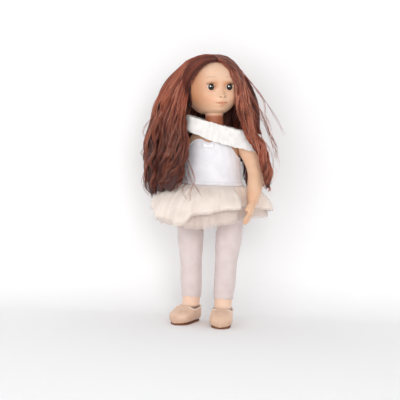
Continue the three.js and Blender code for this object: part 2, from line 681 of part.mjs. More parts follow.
// What the sweetheart neckline leaves bare, in front and behind.
function aboveNeckline() {
  const peak = SHOULDER_HEIGHT + NECKLINE_PEAK;
  const notch = SHOULDER_HEIGHT + NECKLINE_NOTCH;
  const side = SHOULDER_HEIGHT - NECKLINE_SIDE_BELOW;
  const edge = torsoHalf(SHOULDER_HEIGHT, LEOTARD_OUT) + 8;
  const bare = new THREE.Shape();
  bare.moveTo(-edge, peak + 60);
  bare.lineTo(-edge, side);
  bare.quadraticCurveTo(-NECKLINE_PEAK_OUT * 1.9, peak - 2, -NECKLINE_PEAK_OUT, peak);
  bare.quadraticCurveTo(-NECKLINE_PEAK_OUT * 0.4, peak, 0, notch);
  bare.quadraticCurveTo(NECKLINE_PEAK_OUT * 0.4, peak, NECKLINE_PEAK_OUT, peak);
  bare.quadraticCurveTo(NECKLINE_PEAK_OUT * 1.9, peak - 2, edge, side);
  bare.lineTo(edge, peak + 60);
  const front = new THREE.ExtrudeGeometry(bare, { depth: FAR, bevelEnabled: false, curveSegments: 5 });
  const back = SHOULDER_HEIGHT - BACK_NECKLINE_BELOW;
  return solid(front.rotateX(Math.PI / 2)).add(box(vec(-FAR, 0, back), vec(FAR, FAR, FAR + back)));
}
const leotardTop = SHOULDER_HEIGHT + NECKLINE_PEAK + 1;
piece(
  "leotard",
  torsoShell(crotch, leotardTop, LEOTARD_IN, LEOTARD_OUT).subtract(aboveNeckline()).subtract(shoulderRoom),
  WHITE_CLOTH,
);

// Closing strip down the back of the leotard
const stripTop = SHOULDER_HEIGHT - BACK_NECKLINE_BELOW - 1;
const strip = box(
  vec(-FASTENER_HALF, 0, stripTop - FASTENER_LENGTH), vec(FASTENER_HALF, FAR, stripTop),
);
const stripIn = LEOTARD_OUT + GAP;
piece(
  "back_fastener",
  torsoShell(stripTop - FASTENER_LENGTH - 5, stripTop + 5, stripIn, stripIn + LEOTARD_WALL).intersect(strip),
  WHITE_CLOTH,
);

// Small bow at the notch of the neckline
function bow() {
  const loop = (sign) =>
    solid(
      new THREE.SphereGeometry(1, 7, 4).scale(BOW_HALF / 2, 2, 3.4)
        .rotateY(sign * 0.25)
        .translate(sign * BOW_HALF * 0.5, 0, 0),
    );
  const knot = solid(new THREE.SphereGeometry(2.1, 7, 4));
  return loop(1).add(loop(-1)).add(knot);
}
const bowLevel = new THREE.Group();
const bowHeight = SHOULDER_HEIGHT + NECKLINE_NOTCH - 5;
bowLevel.position.set(0, TORSO_BACK - torsoDeep(bowHeight, LEOTARD_OUT) - 1, bowHeight);
doll.add(bowLevel);
const leotardRoom = torso(crotch, leotardTop + 4, LEOTARD_OUT + GAP);
piece(
  "neckline_bow",
  solid(geometryOf(inDoll(bow(), bowLevel).subtract(leotardRoom)).translate(
    0, -bowLevel.position.y, -bowLevel.position.z,
  )),
  WHITE_CLOTH,
  bowLevel,
);

// Skirt
// A closed ring of cloth: section(angle) gives its loop of points at each angle round the doll. The loop
// runs out along one face and back along the other, and both are split along the same diagonals, so that
// they stay apart.
function ring(section, steps) {
  const loops = Array.from({ length: steps }, (_, k) => section((k / steps) * 2 * Math.PI));
  const size = loops[0].length;
  const index = [];
  for (let k = 0; k < steps; k += 1) {
    const [here, next] = [k * size, ((k + 1) % steps) * size];
    for (let j = 0; j < size; j += 1) {
      const ahead = (j + 1) % size;
      const [a, b, c, d] = [here + j, here + ahead, next + ahead, next + j];
      index.push(...(j < size / 2 ? [a, b, c, a, c, d] : [a, b, d, b, c, d]));
    }
  }
  return solid(new THREE.BufferGeometry().setFromPoints(loops.flat()).setIndex(index));
}

// Distance from the middle of the torso to its surface at an angle and a height.
function torsoReach(angle, height, grow) {
  const [a, b] = [torsoHalf(height, grow), torsoDeep(height, grow)];
  return (a * b) / Math.hypot(b * Math.cos(angle), a * Math.sin(angle));
}
const around = (angle, reach, height) =>
  vec(reach * Math.cos(angle), TORSO_BACK + reach * Math.sin(angle), height);

const bandLow = WAIST_HEIGHT - BAND_HEIGHT / 2;
piece(
  "skirt_band",
  ring((angle) => {
    const inner = LEOTARD_OUT + GAP;
    const corner = (grow, up) =>
      around(angle, torsoReach(angle, WAIST_HEIGHT + up, grow), WAIST_HEIGHT + up);
    const half = BAND_HEIGHT / 2;
    const outer = inner + BAND_WALL;
    return [corner(inner, -half), corner(inner, half), corner(outer, half), corner(outer, -half)];
  }, 40),
  NET,
);

// Angles round the doll at which the hanging arms press the skirt in
const armAngles = SIDES.map(({ side }) => Math.atan2(palmAt[side].y - TORSO_BACK, palmAt[side].x));
function dent(angle) {
  const near = armAngles.map((at) => {
    const away = Math.atan2(Math.sin(angle - at), Math.cos(angle - at));
    return Math.exp(-((away / radians(DENT_HALF_ANGLE)) ** 4));
  });
  return 1 - DENT_SHARE * Math.max(...near);
}

// Height of a hem at an angle round the doll
function hemHeight(hem, angle) {
  const degrees = THREE.MathUtils.radToDeg(Math.atan2(Math.sin(angle), Math.cos(angle)));
  return smoothAt(hem, degrees, 1, 0);
}

const SKIRT_STEPS = 3; // bands of cloth from waist to hem
function skirtLayer({ flare, drop, top, start, hem, grow = 0 }) {
  const level = top - drop * (1 - Math.cos(HEM_STEEP * 0.5 * Math.PI) + HEM_SAG);
  return ring((angle) => {
    const reach = torsoReach(angle, top, start);
    const press = dent(angle);
    const lift = hemHeight(hem, angle) - level;
    const edge = (share, out) => {
      const turn = share * 0.5 * Math.PI;
      const fold = FOLD_DEPTH * share * share * Math.sin(SKIRT_FOLDS * angle);
      const spread = flare * press * Math.sin(turn) + fold * press;
      const height = top - drop * (1 - Math.cos(turn * HEM_STEEP) + HEM_SAG * share) + lift * share ** HEM_EASE;
      const lean = turn * HEM_STEEP;
      const normal = new THREE.Vector2(Math.sin(lean), Math.cos(lean));
      return around(angle, reach + spread + out * normal.x, height + out * normal.y);
    };
    const shares = Array.from({ length: SKIRT_STEPS + 1 }, (_, k) => k / SKIRT_STEPS);
    const upper = shares.map((share) => edge(share, NET_WALL + grow));
    const lower = shares.map((share) => edge(share, -grow)).reverse();
    return [...upper, ...lower];
  }, SKIRT_FOLDS * 4);
}
const SKIRT_START = LEOTARD_OUT + GAP + 0.4;
const OUTER_LAYER = {
  flare: OUTER_FLARE,
  drop: OUTER_DROP,
  top: bandLow - GAP - NET_WALL,
  start: SKIRT_START,
  hem: OUTER_HEM,
};
const INNER_LAYER = {
  flare: INNER_FLARE,
  drop: INNER_DROP,
  top: bandLow - GAP - 3 * NET_WALL - 2,
  start: SKIRT_START,
  hem: INNER_HEM,
};
const clearOfArms = (body) => body.subtract(armRoom.left).subtract(armRoom.right);
piece("skirt_outer_layer", clearOfArms(skirtLayer(OUTER_LAYER)), NET);
piece("skirt_inner_layer", clearOfArms(skirtLayer(INNER_LAYER)), NET);

// Head
const head = new THREE.Group();
head.position.set(0, 0, NECK_HEIGHT);
head.rotation.z = radians(HEAD_TURN);
doll.add(head);
const skullTilt = new THREE.Matrix4()
  .makeTranslation(0, 0, NECK_R)
  .multiply(new THREE.Matrix4().makeRotationY(radians(HEAD_TILT)))
  .multiply(new THREE.Matrix4().makeTranslation(0, 0, -NECK_R));
const skullFrame = new THREE.Group();
skullFrame.applyMatrix4(skullTilt);
head.add(skullFrame);

// How far the face bulges forward of the plain skull at a place seen from the front.
function faceBulge(x, z) {
  const bump = (out, below, wide, tall) =>
    out * Math.exp(-((x / wide) ** 2) - (((z - EYE_ABOVE_NECK + below) / tall) ** 2));
  return (
    bump(NOSE_OUT, NOSE_BELOW_EYES, NOSE_SPREAD, NOSE_SPREAD) +
    bump(CHIN_OUT, CHIN_BELOW_EYES, CHIN_SPREAD * 1.4, CHIN_SPREAD) +
    bump(MUZZLE_OUT, MUZZLE_BELOW_EYES, MUZZLE_SPREAD * 1.2, MUZZLE_SPREAD)
  );
}

// Share of the skull's girth at a height, from -1 at the chin to 1 at the crown.
function girthAt(z) {
  const square = z < 0 ? JAW_SQUARE : 2;
  return (1 - Math.min(1, Math.abs(z)) ** square) ** (1 / square);
}

// The skull in its own frame, upright on the neck.
const SKULL_SIDES = 20;
const HOLLOW_SIDES = 14;
function skull(grow, sides = SKULL_SIDES) {
  const geometry = new THREE.SphereGeometry(1, sides, Math.round(sides * 0.72)).rotateX(Math.PI / 2);
  const position = geometry.attributes.position;
  for (let k = 0; k < position.count; k += 1) {
    const [x, y, z] = [position.getX(k), position.getY(k), position.getZ(k)];
    const flat = Math.hypot(x, y);
    const plan = flat < 1e-6 ? 0
      : girthAt(z) / (Math.abs(x) ** SKULL_SQUARE + Math.abs(y) ** SKULL_SQUARE) ** (1 / SKULL_SQUARE);
    const taper = 1 - JAW_TAPER * THREE.MathUtils.smoothstep(-z, 0, 1);
    const px = (SKULL_HALF * taper + grow) * x * plan;
    const pz = SKULL_ABOVE_NECK + (SKULL_HIGH + grow) * z;
    const front = y < 0 ? faceBulge(px, pz) * Math.min(1, -y * 2) : 0;
    const deep = (y < 0 ? SKULL_FRONT : SKULL_DEEP) + grow;
    position.setXYZ(k, px, SKULL_SET_BACK + deep * y * plan - front, pz);
  }
  return solid(geometry);
}

// Depth of the face at a place beside the middle, at the height of the eyes.
function faceDepth(x, grow = 0) {
  const flat = girthAt((EYE_ABOVE_NECK - SKULL_ABOVE_NECK) / (SKULL_HIGH + grow));
  const share = Math.min(1, x / ((SKULL_HALF + grow) * flat));
  const depth = (SKULL_FRONT + grow) * flat * (1 - share ** SKULL_SQUARE) ** (1 / SKULL_SQUARE);
  return SKULL_SET_BACK - depth;
}
const eyeDepth = faceDepth(EYE_SPACING / 2) + Math.sqrt(EYE_SOCKET_R ** 2 - EYE_OPENING_R ** 2);
const eyeAt = (sign) => vec((sign * EYE_SPACING) / 2, eyeDepth, EYE_ABOVE_NECK);

const tilted = (body) => solid(geometryOf(body).applyMatrix4(skullTilt));
function turnedZ(profile, sides = 14) {
  const points = profile.map(([up, radius]) => new THREE.Vector2(radius, up));
  return solid(new THREE.LatheGeometry(points, sides).rotateX(Math.PI / 2));
}

const neckTop = SKULL_ABOVE_NECK - SKULL_HIGH + 12;
const neckOutside = (grow) => [
  [-NECK_PASSAGE - RUNNING_GAP, NECK_GROOVE_R], [RUNNING_GAP, NECK_GROOVE_R],
  [RUNNING_GAP, NECK_R + 1 + grow], [4, NECK_R + grow], [neckTop, NECK_R + grow],
];
const neck = turnedZ([
  [-NECK_PASSAGE - RUNNING_GAP - NECK_FLANGE, 0],
  [-NECK_PASSAGE - RUNNING_GAP - NECK_FLANGE, NECK_FLANGE_R],
  [-NECK_PASSAGE - RUNNING_GAP, NECK_FLANGE_R],
  ...neckOutside(0), [neckTop, 0],
]);
const neckBore = turnedZ([[-FAR, 0], [-FAR, NECK_BORE_R], [neckTop + 4, NECK_BORE_R], [neckTop + 4, 0]], 16);
const eyeSockets = [-1, 1]
  .map((sign) => ball(EYE_SOCKET_R, eyeAt(sign), 12))
  .reduce((all, part) => all.add(part));
const skullHollow = skull(-HEAD_WALL, HOLLOW_SIDES);
piece(
  "head_shell",
  tilted(skull(0)).add(neck).subtract(tilted(skullHollow)).subtract(neckBore).subtract(tilted(eyeSockets)),
  SKIN,
  head,
);

// Weighted eyes on one rocker, which turns in a bracket behind the bridge of the nose
const axisAt = vec(0, eyeDepth, EYE_ABOVE_NECK);
const rockerEnd = EYE_SPACING / 2 - 2;
const atAxis = (body) => solid(geometryOf(body).translate(axisAt.x, axisAt.y, axisAt.z));
const rocker = (grow) => rodX(-rockerEnd - grow, rockerEnd + grow, ROCKER_R + grow, 12);
const yokeArm = (sign) =>
  solid(
    new THREE.CylinderGeometry(ROCKER_R * 0.8, ROCKER_R * 0.8, YOKE_LENGTH, 8)
      .translate(0, YOKE_LENGTH / 2, 0)
      .rotateX(Math.PI / 2 + Math.PI)
      .rotateX(radians(YOKE_LEAN))
      .translate(sign * YOKE_OFFSET, 0, 0),
  );
const weightReach = YOKE_LENGTH + GAP + WEIGHT_R;
const weight = solid(
  geometryOf(rodX(-YOKE_OFFSET - 2, YOKE_OFFSET + 2, WEIGHT_R, 12)).translate(
    0, weightReach * Math.sin(radians(YOKE_LEAN)), -weightReach * Math.cos(radians(YOKE_LEAN)),
  ),
);
const bracket = box(
  vec(-BRACKET_HALF, -FAR, -BRACKET_HIGH), vec(BRACKET_HALF, ROCKER_R + 2.4, BRACKET_HIGH),
);
piece(
  "eye_bracket",
  atAxis(bracket.subtract(rocker(RUNNING_GAP)))
    .intersect(skull(-HEAD_WALL - GAP, HOLLOW_SIDES))
    .subtract(eyeSockets),
  HARD_PLASTIC,
  skullFrame,
);
piece("eye_rocker", atAxis(rocker(0).add(yokeArm(1)).add(yokeArm(-1))), STEEL, skullFrame);
piece("eye_weight", atAxis(weight), STEEL, skullFrame);

// Half-space in front of a plane across the eye, at the edge of the iris.
const irisDepth = -Math.sqrt(EYE_R ** 2 - IRIS_R ** 2);
const inFront = (depth) => box(vec(-FAR, -FAR, -FAR), vec(FAR, depth, FAR));
function eyelid() {
  const lowerHalf = new THREE.BoxGeometry(FAR, FAR, FAR).translate(0, 0, -FAR / 2);
  lowerHalf.rotateX(-radians(EYELID_EDGE));
  return ball(EYELID_R, vec(0, 0, 0), 10)
    .subtract(ball(EYE_R + GAP, vec(0, 0, 0), 10))
    .subtract(solid(lowerHalf))
    .subtract(rodX(-FAR, FAR, ROCKER_R + GAP, 10));
}
for (const { side, sign } of SIDES) {
  const at = eyeAt(sign);
  const eye = new THREE.Group();
  eye.position.copy(at);
  skullFrame.add(eye);
  const bore = solid(geometryOf(rocker(GAP)).translate(-at.x, 0, 0));
  const eyeball = ball(EYE_R, vec(0, 0, 0), 10);
  piece(`eyeball_${side}`, eyeball.subtract(inFront(irisDepth)).subtract(bore), EYE_WHITE, eye);
  piece(`eye_lens_${side}`, eyeball.intersect(inFront(irisDepth - GAP)), IRIS, eye);
  piece(`eyelid_${side}`, eyelid(), SKIN, eye);
}

// Rooted hair: a thick cap on the scalp, behind a hairline that frames the face
function scalp(grow) {
  return skull(grow).translate([0, -CAP_FORWARD, 0]);
}
function bareFace() {
  const line = new THREE.Shape();
  const [front, high] = [-SKULL_FRONT - 30, SKULL_ABOVE_NECK];
  line.moveTo(front, high + SKULL_HIGH * 0.78);
  line.lineTo(-SKULL_FRONT * 0.68, high + SKULL_HIGH * 0.76);
  const temple = -SKULL_FRONT * 0.6;
  const nape = high - SKULL_HIGH * 0.72;
  line.quadraticCurveTo(temple, high + SKULL_HIGH * 0.3, temple, high - SKULL_HIGH * 0.1);
  line.quadraticCurveTo(-SKULL_FRONT * 0.5, high - SKULL_HIGH * 0.55, SKULL_DEEP * 0.1, nape);
  line.lineTo(SKULL_DEEP + 30, nape);
  line.lineTo(SKULL_DEEP + 30, -FAR);
  line.lineTo(front, -FAR);
  const cut = new THREE.ExtrudeGeometry(line, { depth: FAR, bevelEnabled: false, curveSegments: 6 });
  cut.translate(0, 0, -FAR / 2).rotateZ(Math.PI / 2).rotateY(Math.PI / 2).translate(0, SKULL_SET_BACK, 0);
  return solid(cut);
}
const hairCap = scalp(CAP_THICK).subtract(skull(GAP)).subtract(bareFace());
piece("hair_cap", hairCap, HAIR, skullFrame);

// Collar
const rightShoulder = vec(-ARM_FACE, 0, SHOULDER_HEIGHT);
const leftShoulder = vec(ARM_FACE, 0, SHOULDER_HEIGHT);
const neckBase = vec(0, 0, NECK_HEIGHT);
const from = (anchor, x, y, z) => anchor.clone().add(vec(x, y, z));
const collarLine = new THREE.CatmullRomCurve3(
  [
    from(neckBase, 0, -31, -8),
    from(neckBase, 28, -34, -15),
    from(leftShoulder, 16, -26, 9),
    from(leftShoulder, 33, -18.5, 6),
    from(leftShoulder, 39.5, 0, 5),
    from(leftShoulder, 33, 18.5, 6),
    from(leftShoulder, 10, 28, 12),
    from(neckBase, 6, 32, -6),
    from(neckBase, -28, 25, 5),
    from(rightShoulder, -1, 4, 39),
    from(neckBase, -30, -23, 3),
  ],
  true,
  "catmullrom",
);
const collarMiddle = vec(8, TORSO_BACK, NECK_HEIGHT);
const COLLAR_STEPS = COLLAR_FRILLS * 4;
function collar(grow = 0) {
  const rings = Array.from({ length: COLLAR_STEPS }, (_, k) => {
    const share = k / COLLAR_STEPS;
    const at = collarLine.getPoint(share);
    const out = at.clone().sub(collarMiddle).setZ(0).normalize();
    const frill = FRILL_DEPTH * Math.sin(share * COLLAR_FRILLS * 2 * Math.PI);
    const place = (up, thick) =>
      at.clone()
        .addScaledVector(out, thick + (frill * (COLLAR_HALF - up)) / (2 * COLLAR_HALF) - COLLAR_LEAN * up)
        .setZ(at.z + up);
    const [high, half] = [COLLAR_HALF + grow, COLLAR_WALL / 2 + grow];
    return [
      place(-high, -half), place(0, -half), place(high, -half),
      place(high, half), place(0, half), place(-high, half),
    ];
  });
  rings.push(rings[0]);
  return solid(new LoftGeometry(rings.reverse()));
}
const headRoom = inDoll(
  tilted(skull(GAP)).add(turnedZ([[-1, 0], [-1, NECK_R + 1], ...neckOutside(GAP).slice(2), [neckTop, 0]])),
  head,
);
const capRoom = inDoll(scalp(CAP_THICK + GAP).subtract(bareFace()), skullFrame);
const bodyRoom = torso(crotch, NECK_HEIGHT + GAP, LEOTARD_OUT + GAP);
const collarBody = collar()
  .subtract(torso(crotch, NECK_HEIGHT + GAP, GAP))
  .subtract(torso(crotch, leotardTop + GAP, LEOTARD_OUT + GAP))
  .subtract(armRoom.left)
  .subtract(armRoom.right)
  .subtract(headRoom)
  .subtract(capRoom);
piece("collar_ruffle", collarBody, RUFFLE_CLOTH);

// Long locks of hair. Each station is an anchor, an offset from it and two half thicknesses.
const headMiddle = vec(
  -SKULL_SET_BACK * Math.sin(radians(HEAD_TURN)),
  SKULL_SET_BACK * Math.cos(radians(HEAD_TURN)),
  NECK_HEIGHT + SKULL_ABOVE_NECK,
);
const rightWaist = vec(-ARM_FACE, 0, WAIST_HEIGHT);
const leftWaist = vec(ARM_FACE, 0, WAIST_HEIGHT);
const backWaist = vec(0, 0, WAIST_HEIGHT);
const lock = (facing, ...stations) => ({
  facing,
  stations: stations.map(([anchor, x, y, z, deep, across]) => ({
    at: from(anchor, x, y, z).toArray(),
    across: deep,
    deep: across,
  })),
});
const LOCKS = {
  hair_right_side: lock(
    [-0.95, -0.3, 0],
    [headMiddle, -42, -2, 36, 8, 14], [headMiddle, -70, -6, -2, 13, 24], [headMiddle, -85, -8, -44, 15, 25],
    [rightShoulder, -53, -12, 8, 15, 25], [rightShoulder, -55, -16, -32, 14.5, 25],
    [rightWaist, -52, -20, -6, 12, 20], [rightWaist, -49, -24, -32, 4, 9],
  ),
  hair_right_front: lock(
    [-0.5, -0.85, 0],
    [headMiddle, -40, -20, 20, 6, 12], [headMiddle, -52, -32, -20, 8, 18], [headMiddle, -54, -41, -60, 9, 24],
    [rightShoulder, -9, -45, 0, 9.5, 26], [rightShoulder, -13, -48, -36, 9, 25],
    [rightWaist, -20, -52, -2, 7, 20], [rightWaist, -26, -56, -18, 3, 9],
  ),
  hair_right_back: lock(
    [-0.5, 0.85, 0],
    [headMiddle, -34, 40, 14, 6, 16], [headMiddle, -50, 52, -26, 9, 22], [headMiddle, -56, 52, -66, 9, 24],
    [rightShoulder, -15, 52, 0, 9, 24], [rightShoulder, -18, 52, -40, 9, 23],
    [rightWaist, -18, 54, -9, 8, 20], [rightWaist, -14, 56, -26, 3, 10],
  ),
  hair_back: lock(
    [0, 1, 0],
    [headMiddle, 0, 52, 16, 6, 22], [headMiddle, 0, 62, -24, 8.5, 30], [headMiddle, 0, 60, -64, 9, 32],
    [backWaist, 0, 54, 67, 9, 32], [backWaist, 0, 52, 27, 9, 31],
    [backWaist, 0, 56, -7, 8, 27], [backWaist, 0, 60, -26, 3, 16],
  ),
  hair_left_back: lock(
    [0.5, 0.85, 0],
    [headMiddle, 36, 40, 14, 6, 16], [headMiddle, 50, 50, -26, 9, 21], [headMiddle, 55, 50, -66, 9, 22],
    [leftShoulder, 14, 50, 0, 9, 22], [leftShoulder, 16, 50, -40, 9, 21],
    [leftWaist, 16, 52, -3, 8, 18], [leftWaist, 12, 54, -22, 3, 9],
  ),
  hair_left_side: lock(
    [0.75, -0.66, 0],
    [headMiddle, 39, -1, 26, 5, 11], [headMiddle, 50, -8, -10, 6, 13], [headMiddle, 60, -20, -44, 6.5, 13],
    [leftShoulder, 30, -35, 16, 5, 10], [leftShoulder, 44, -32, -4, 4.5, 8],
    [leftShoulder, 52, -24, -32, 4.5, 7], [leftShoulder, 54, -20, -56, 4, 6],
    [leftShoulder, 53, -18, -74, 2, 3],
  ),
  hair_left_wisp: lock(
    [0.8, -0.6, 0],
    [headMiddle, 50, 6, 8, 3, 5], [headMiddle, 74, 6, -32, 3, 4], [headMiddle, 96, 6, -72, 2.5, 3.5],
    [leftShoulder, 63, 4, -10, 2.5, 3], [leftShoulder, 68.5, 2, -40, 1.6, 2],
  ),
};
const hairRooms = [
  headRoom, capRoom, bodyRoom, armRoom.left, armRoom.right, collar(GAP),
  skirtLayer({ ...OUTER_LAYER, grow: GAP }), skirtLayer({ ...INNER_LAYER, grow: GAP }),
];
const laid = [];
for (const [name, { facing, stations }] of Object.entries(LOCKS)) {
  const strand = (grow) => tube(stations, { grow, steps: 12, sides: 8, reference: facing, wave: HAIR_WAVE });
  const body = [...hairRooms, ...laid].reduce((rest, room) => rest.subtract(room), strand(0));
  laid.push(strand(GAP));
  piece(name, body, HAIR);
}

export default doll;
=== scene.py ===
# %% [markdown]
# # A play doll in dancer's dress
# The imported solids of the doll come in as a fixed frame. They carry the sizes, the joints and the places
# of all pieces, but they are coarse. In this lesson each of them gets a finished piece over it or a
# finish of its own: painted vinyl, combed hair, net, stretch cloth and satin.

# %% Load the solids
import math

import bpy
import numpy as np
from mathutils import Matrix, Quaternion, Vector


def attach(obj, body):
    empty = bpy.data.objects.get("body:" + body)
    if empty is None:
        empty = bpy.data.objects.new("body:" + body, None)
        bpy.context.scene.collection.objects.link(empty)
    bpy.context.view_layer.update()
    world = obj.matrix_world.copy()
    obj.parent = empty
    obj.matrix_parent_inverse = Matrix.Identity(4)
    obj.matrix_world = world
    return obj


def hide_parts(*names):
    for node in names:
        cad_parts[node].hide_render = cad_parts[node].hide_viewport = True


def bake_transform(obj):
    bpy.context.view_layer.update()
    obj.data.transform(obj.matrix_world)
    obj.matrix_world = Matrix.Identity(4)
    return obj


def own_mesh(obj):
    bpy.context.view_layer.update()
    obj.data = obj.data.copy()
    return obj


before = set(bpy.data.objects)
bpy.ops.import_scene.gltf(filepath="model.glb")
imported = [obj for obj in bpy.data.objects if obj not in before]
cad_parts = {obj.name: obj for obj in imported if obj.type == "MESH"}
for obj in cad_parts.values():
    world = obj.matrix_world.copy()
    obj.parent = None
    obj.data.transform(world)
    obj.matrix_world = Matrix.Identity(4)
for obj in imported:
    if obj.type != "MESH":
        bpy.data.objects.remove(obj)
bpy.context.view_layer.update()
scene = bpy.context.scene
scene.view_settings.view_transform = "Standard"
MM = 0.001

# %% [markdown]
# ## The camera
# The photograph was taken from a little to the doll's left, slightly above the middle of the doll, with
# the camera held a touch askew, so the doll leans to the right in the picture. One pixel of the 400 pixel
# frame is 1.68 mm at the doll, which fixes the focal length once the distance is chosen. A long lens
# keeps the proportions as calm as they look in the photograph.

# %% Place the camera
PICTURE_WIDTH = 400 * 1.68 * MM
SENSOR_WIDTH = 36.0
DISTANCE = 1.6
AZIMUTH = math.radians(14.0)
ELEVATION = math.radians(4.0)
ROLL = math.radians(2.2)
AIM_ASIDE = -0.0185
AIM_HEIGHT = 0.207

aim = Vector((AIM_ASIDE * math.cos(AZIMUTH), AIM_ASIDE * math.sin(AZIMUTH), AIM_HEIGHT))
towards_camera = Vector((
    math.sin(AZIMUTH) * math.cos(ELEVATION),
    -math.cos(AZIMUTH) * math.cos(ELEVATION),
    math.sin(ELEVATION),
))
bpy.ops.object.camera_add(location=aim + DISTANCE * towards_camera)
camera = bpy.context.object
facing = (-towards_camera).to_track_quat("-Z", "Y")
camera.rotation_euler = (facing @ Quaternion((0, 0, 1), ROLL)).to_euler()
camera.data.sensor_width = SENSOR_WIDTH
camera.data.lens = SENSOR_WIDTH * DISTANCE / PICTURE_WIDTH
scene.camera = camera
print("lens in mm:", round(camera.data.lens, 1))

# %% [markdown]
# ## Writing a finish
# A material is a net of nodes. Written out link by link it is hard to read, so one small class wraps a
# socket and lets sums and products of values stand as plain expressions, and one method makes any other
# node.


# %% Wrap the sockets of a material
class Wire:
    """A value inside a finish. Sums, products and powers of wires add Math nodes."""

    def __init__(self, finish, socket):
        self.finish = finish
        self.socket = socket

    def combine(self, operation, left, right):
        return self.finish.node("ShaderNodeMath", {"operation": operation}, {0: left, 1: right})

    def __add__(self, other):
        return self.combine("ADD", self, other)

    __radd__ = __add__

    def __sub__(self, other):
        return self.combine("SUBTRACT", self, other)

    def __rsub__(self, other):
        return self.combine("SUBTRACT", other, self)

    def __mul__(self, other):
        return self.combine("MULTIPLY", self, other)

    __rmul__ = __mul__

    def __truediv__(self, other):
        return self.combine("DIVIDE", self, other)

    def __pow__(self, other):
        return self.combine("POWER", self, other)

    def __rpow__(self, other):
        return self.combine("POWER", other, self)


def tint(red, green, blue):
    """A colour as read off a screen, 0 to 255, as the shader wants it."""
    screen = np.array([red, green, blue]) / 255
    linear = np.where(screen <= 0.04045, screen / 12.92, ((screen + 0.055) / 1.055) ** 2.4)
    return (*linear.tolist(), 1.0)


print("middle grey as the shader wants it:", round(tint(128, 128, 128)[0], 3))


# %% Write a finish
FLAT_MAP = "OFBake"


class Finish:
    """A material under one name, with a Principled shader."""

    def __init__(self, name, colour, roughness, **constants):
        self.material = bpy.data.materials.new(name)
        self.material.use_nodes = True
        self.tree = self.material.node_tree
        self.shader = self.tree.nodes["Principled BSDF"]
        self.put("Base Color", colour)
        self.put("Roughness", roughness)
        for key, value in constants.items():
            self.put(key.replace("_", " ").title(), value)

    def put(self, socket, value):
        if isinstance(value, Wire):
            self.tree.links.new(value.socket, self.shader.inputs[socket])
        else:
            self.shader.inputs[socket].default_value = value

    def node(self, kind, settings=None, sockets=None, output=0):
        made = self.tree.nodes.new(kind)
        for key, value in (settings or {}).items():
            if key == "stops":
                ramp = made.color_ramp.elements
                while len(ramp) < len(value):
                    ramp.new(0.5)
                for element, (place, colour) in zip(ramp, value):
                    element.position = place
                    element.color = colour
            else:
                setattr(made, key, value)
        for key, value in (sockets or {}).items():
            if isinstance(value, Wire):
                self.tree.links.new(value.socket, made.inputs[key])
            else:
                made.inputs[key].default_value = value
        return Wire(self, made.outputs[output])

    def millimetres(self, matrix=None):
        """Object coordinates in millimetres, in the frame that the matrix gives."""
        place = (matrix or Matrix()).to_translation() * MM
        turn = (matrix or Matrix()).to_euler()
        coords = self.node("ShaderNodeTexCoord", output="Object")
        sockets = {"Vector": coords, "Location": place, "Rotation": turn, "Scale": (MM, MM, MM)}
        return self.node("ShaderNodeMapping", {"vector_type": "TEXTURE"}, sockets)

    def unrolled(self, width, length):
        """The piece's own flat map, stretched to a width and a length."""
        flat = self.node("ShaderNodeUVMap", {"uv_map": FLAT_MAP})
        return self.node("ShaderNodeMapping", {}, {"Vector": flat, "Scale": (width, length, 1)})

    def parts(self, vector):
        split = self.node("ShaderNodeSeparateXYZ", {}, {"Vector": vector})
        return [Wire(self, socket) for socket in split.socket.node.outputs]

    def noise(self, vector, size, detail=2.0):
        sockets = {"Vector": vector, "Scale": 1 / size, "Detail": detail}
        return self.node("ShaderNodeTexNoise", {}, sockets)

    def stretched(self, vector, scale):
        return self.node("ShaderNodeVectorMath", {"operation": "MULTIPLY"}, {0: vector, 1: scale})

    def mix(self, share, under, over):
        return self.node("ShaderNodeMix", {"data_type": "RGBA"}, {0: share, 6: under, 7: over}, 2)

    def ramp(self, value, low, high):
        """A smooth step from 0 at low to 1 at high."""
        sockets = {"Value": value, "From Min": low, "From Max": high}
        return self.node("ShaderNodeMapRange", {"interpolation_type": "SMOOTHSTEP"}, sockets)

    def spot(self, across, up, wide, tall):
        """A soft round patch: 1 in its middle, fading over wide and tall."""
        return math.e ** (0 - (across * across) / wide**2 - (up * up) / tall**2)

    def sine(self, value):
        return self.node("ShaderNodeMath", {"operation": "SINE"}, {0: value})

    def size_of(self, value):
        return self.node("ShaderNodeMath", {"operation": "ABSOLUTE"}, {0: value})

    def emboss(self, height, depth, strength=1.0):
        """Raise the surface by height times depth in millimetres."""
        sockets = {"Height": height, "Distance": depth * MM, "Strength": strength}
        self.put("Normal", self.node("ShaderNodeBump", {}, sockets))


print("finishes are ready to write")


# %% Write a finish with one grain
def grained(
    name, colours, roughness, size, detail=2.0, stretch=(1, 1, 1), rougher=0.0, relief=None, matrix=None,
    **constants,
):
    """A finish with one grain, which shifts between two colours and may add to roughness and relief."""
    finish = Finish(name, colours[0], roughness, **constants)
    grain = finish.noise(finish.stretched(finish.millimetres(matrix), stretch), size, detail)
    finish.put("Base Color", finish.mix(grain, *colours))
    if rougher:
        finish.put("Roughness", roughness + rougher * grain)
    if relief:
        finish.emboss(grain, *relief)
    return finish


print("grains are measured in millimetres, of", MM, "m each")

# %% [markdown]
# ## The studio
# A sheet of white paper runs under the doll and curves up close behind it, so that the doll shades it
# softly. A large soft lamp stands in front on the right, with a weaker fill on the left. The light stays
# at a plain level, so that colours come out about as they are written. The paper is wide, and far from
# the doll it fades to plain white for the camera, so that no end of it shows from the side. From behind
# it is see-through.

# %% Light the studio
AMBIENT = 0.56
KEY_LAMP = {"place": (0.75, -1.75, 0.75), "size": 0.9, "watts": 11.5}
FILL_LAMP = {"place": (-0.55, -1.9, 0.6), "size": 1.2, "watts": 9.0}
DOLL_MIDDLE = (0.0, 0.0, 0.26)
BACKDROP_WHITE = tint(253, 253, 253)

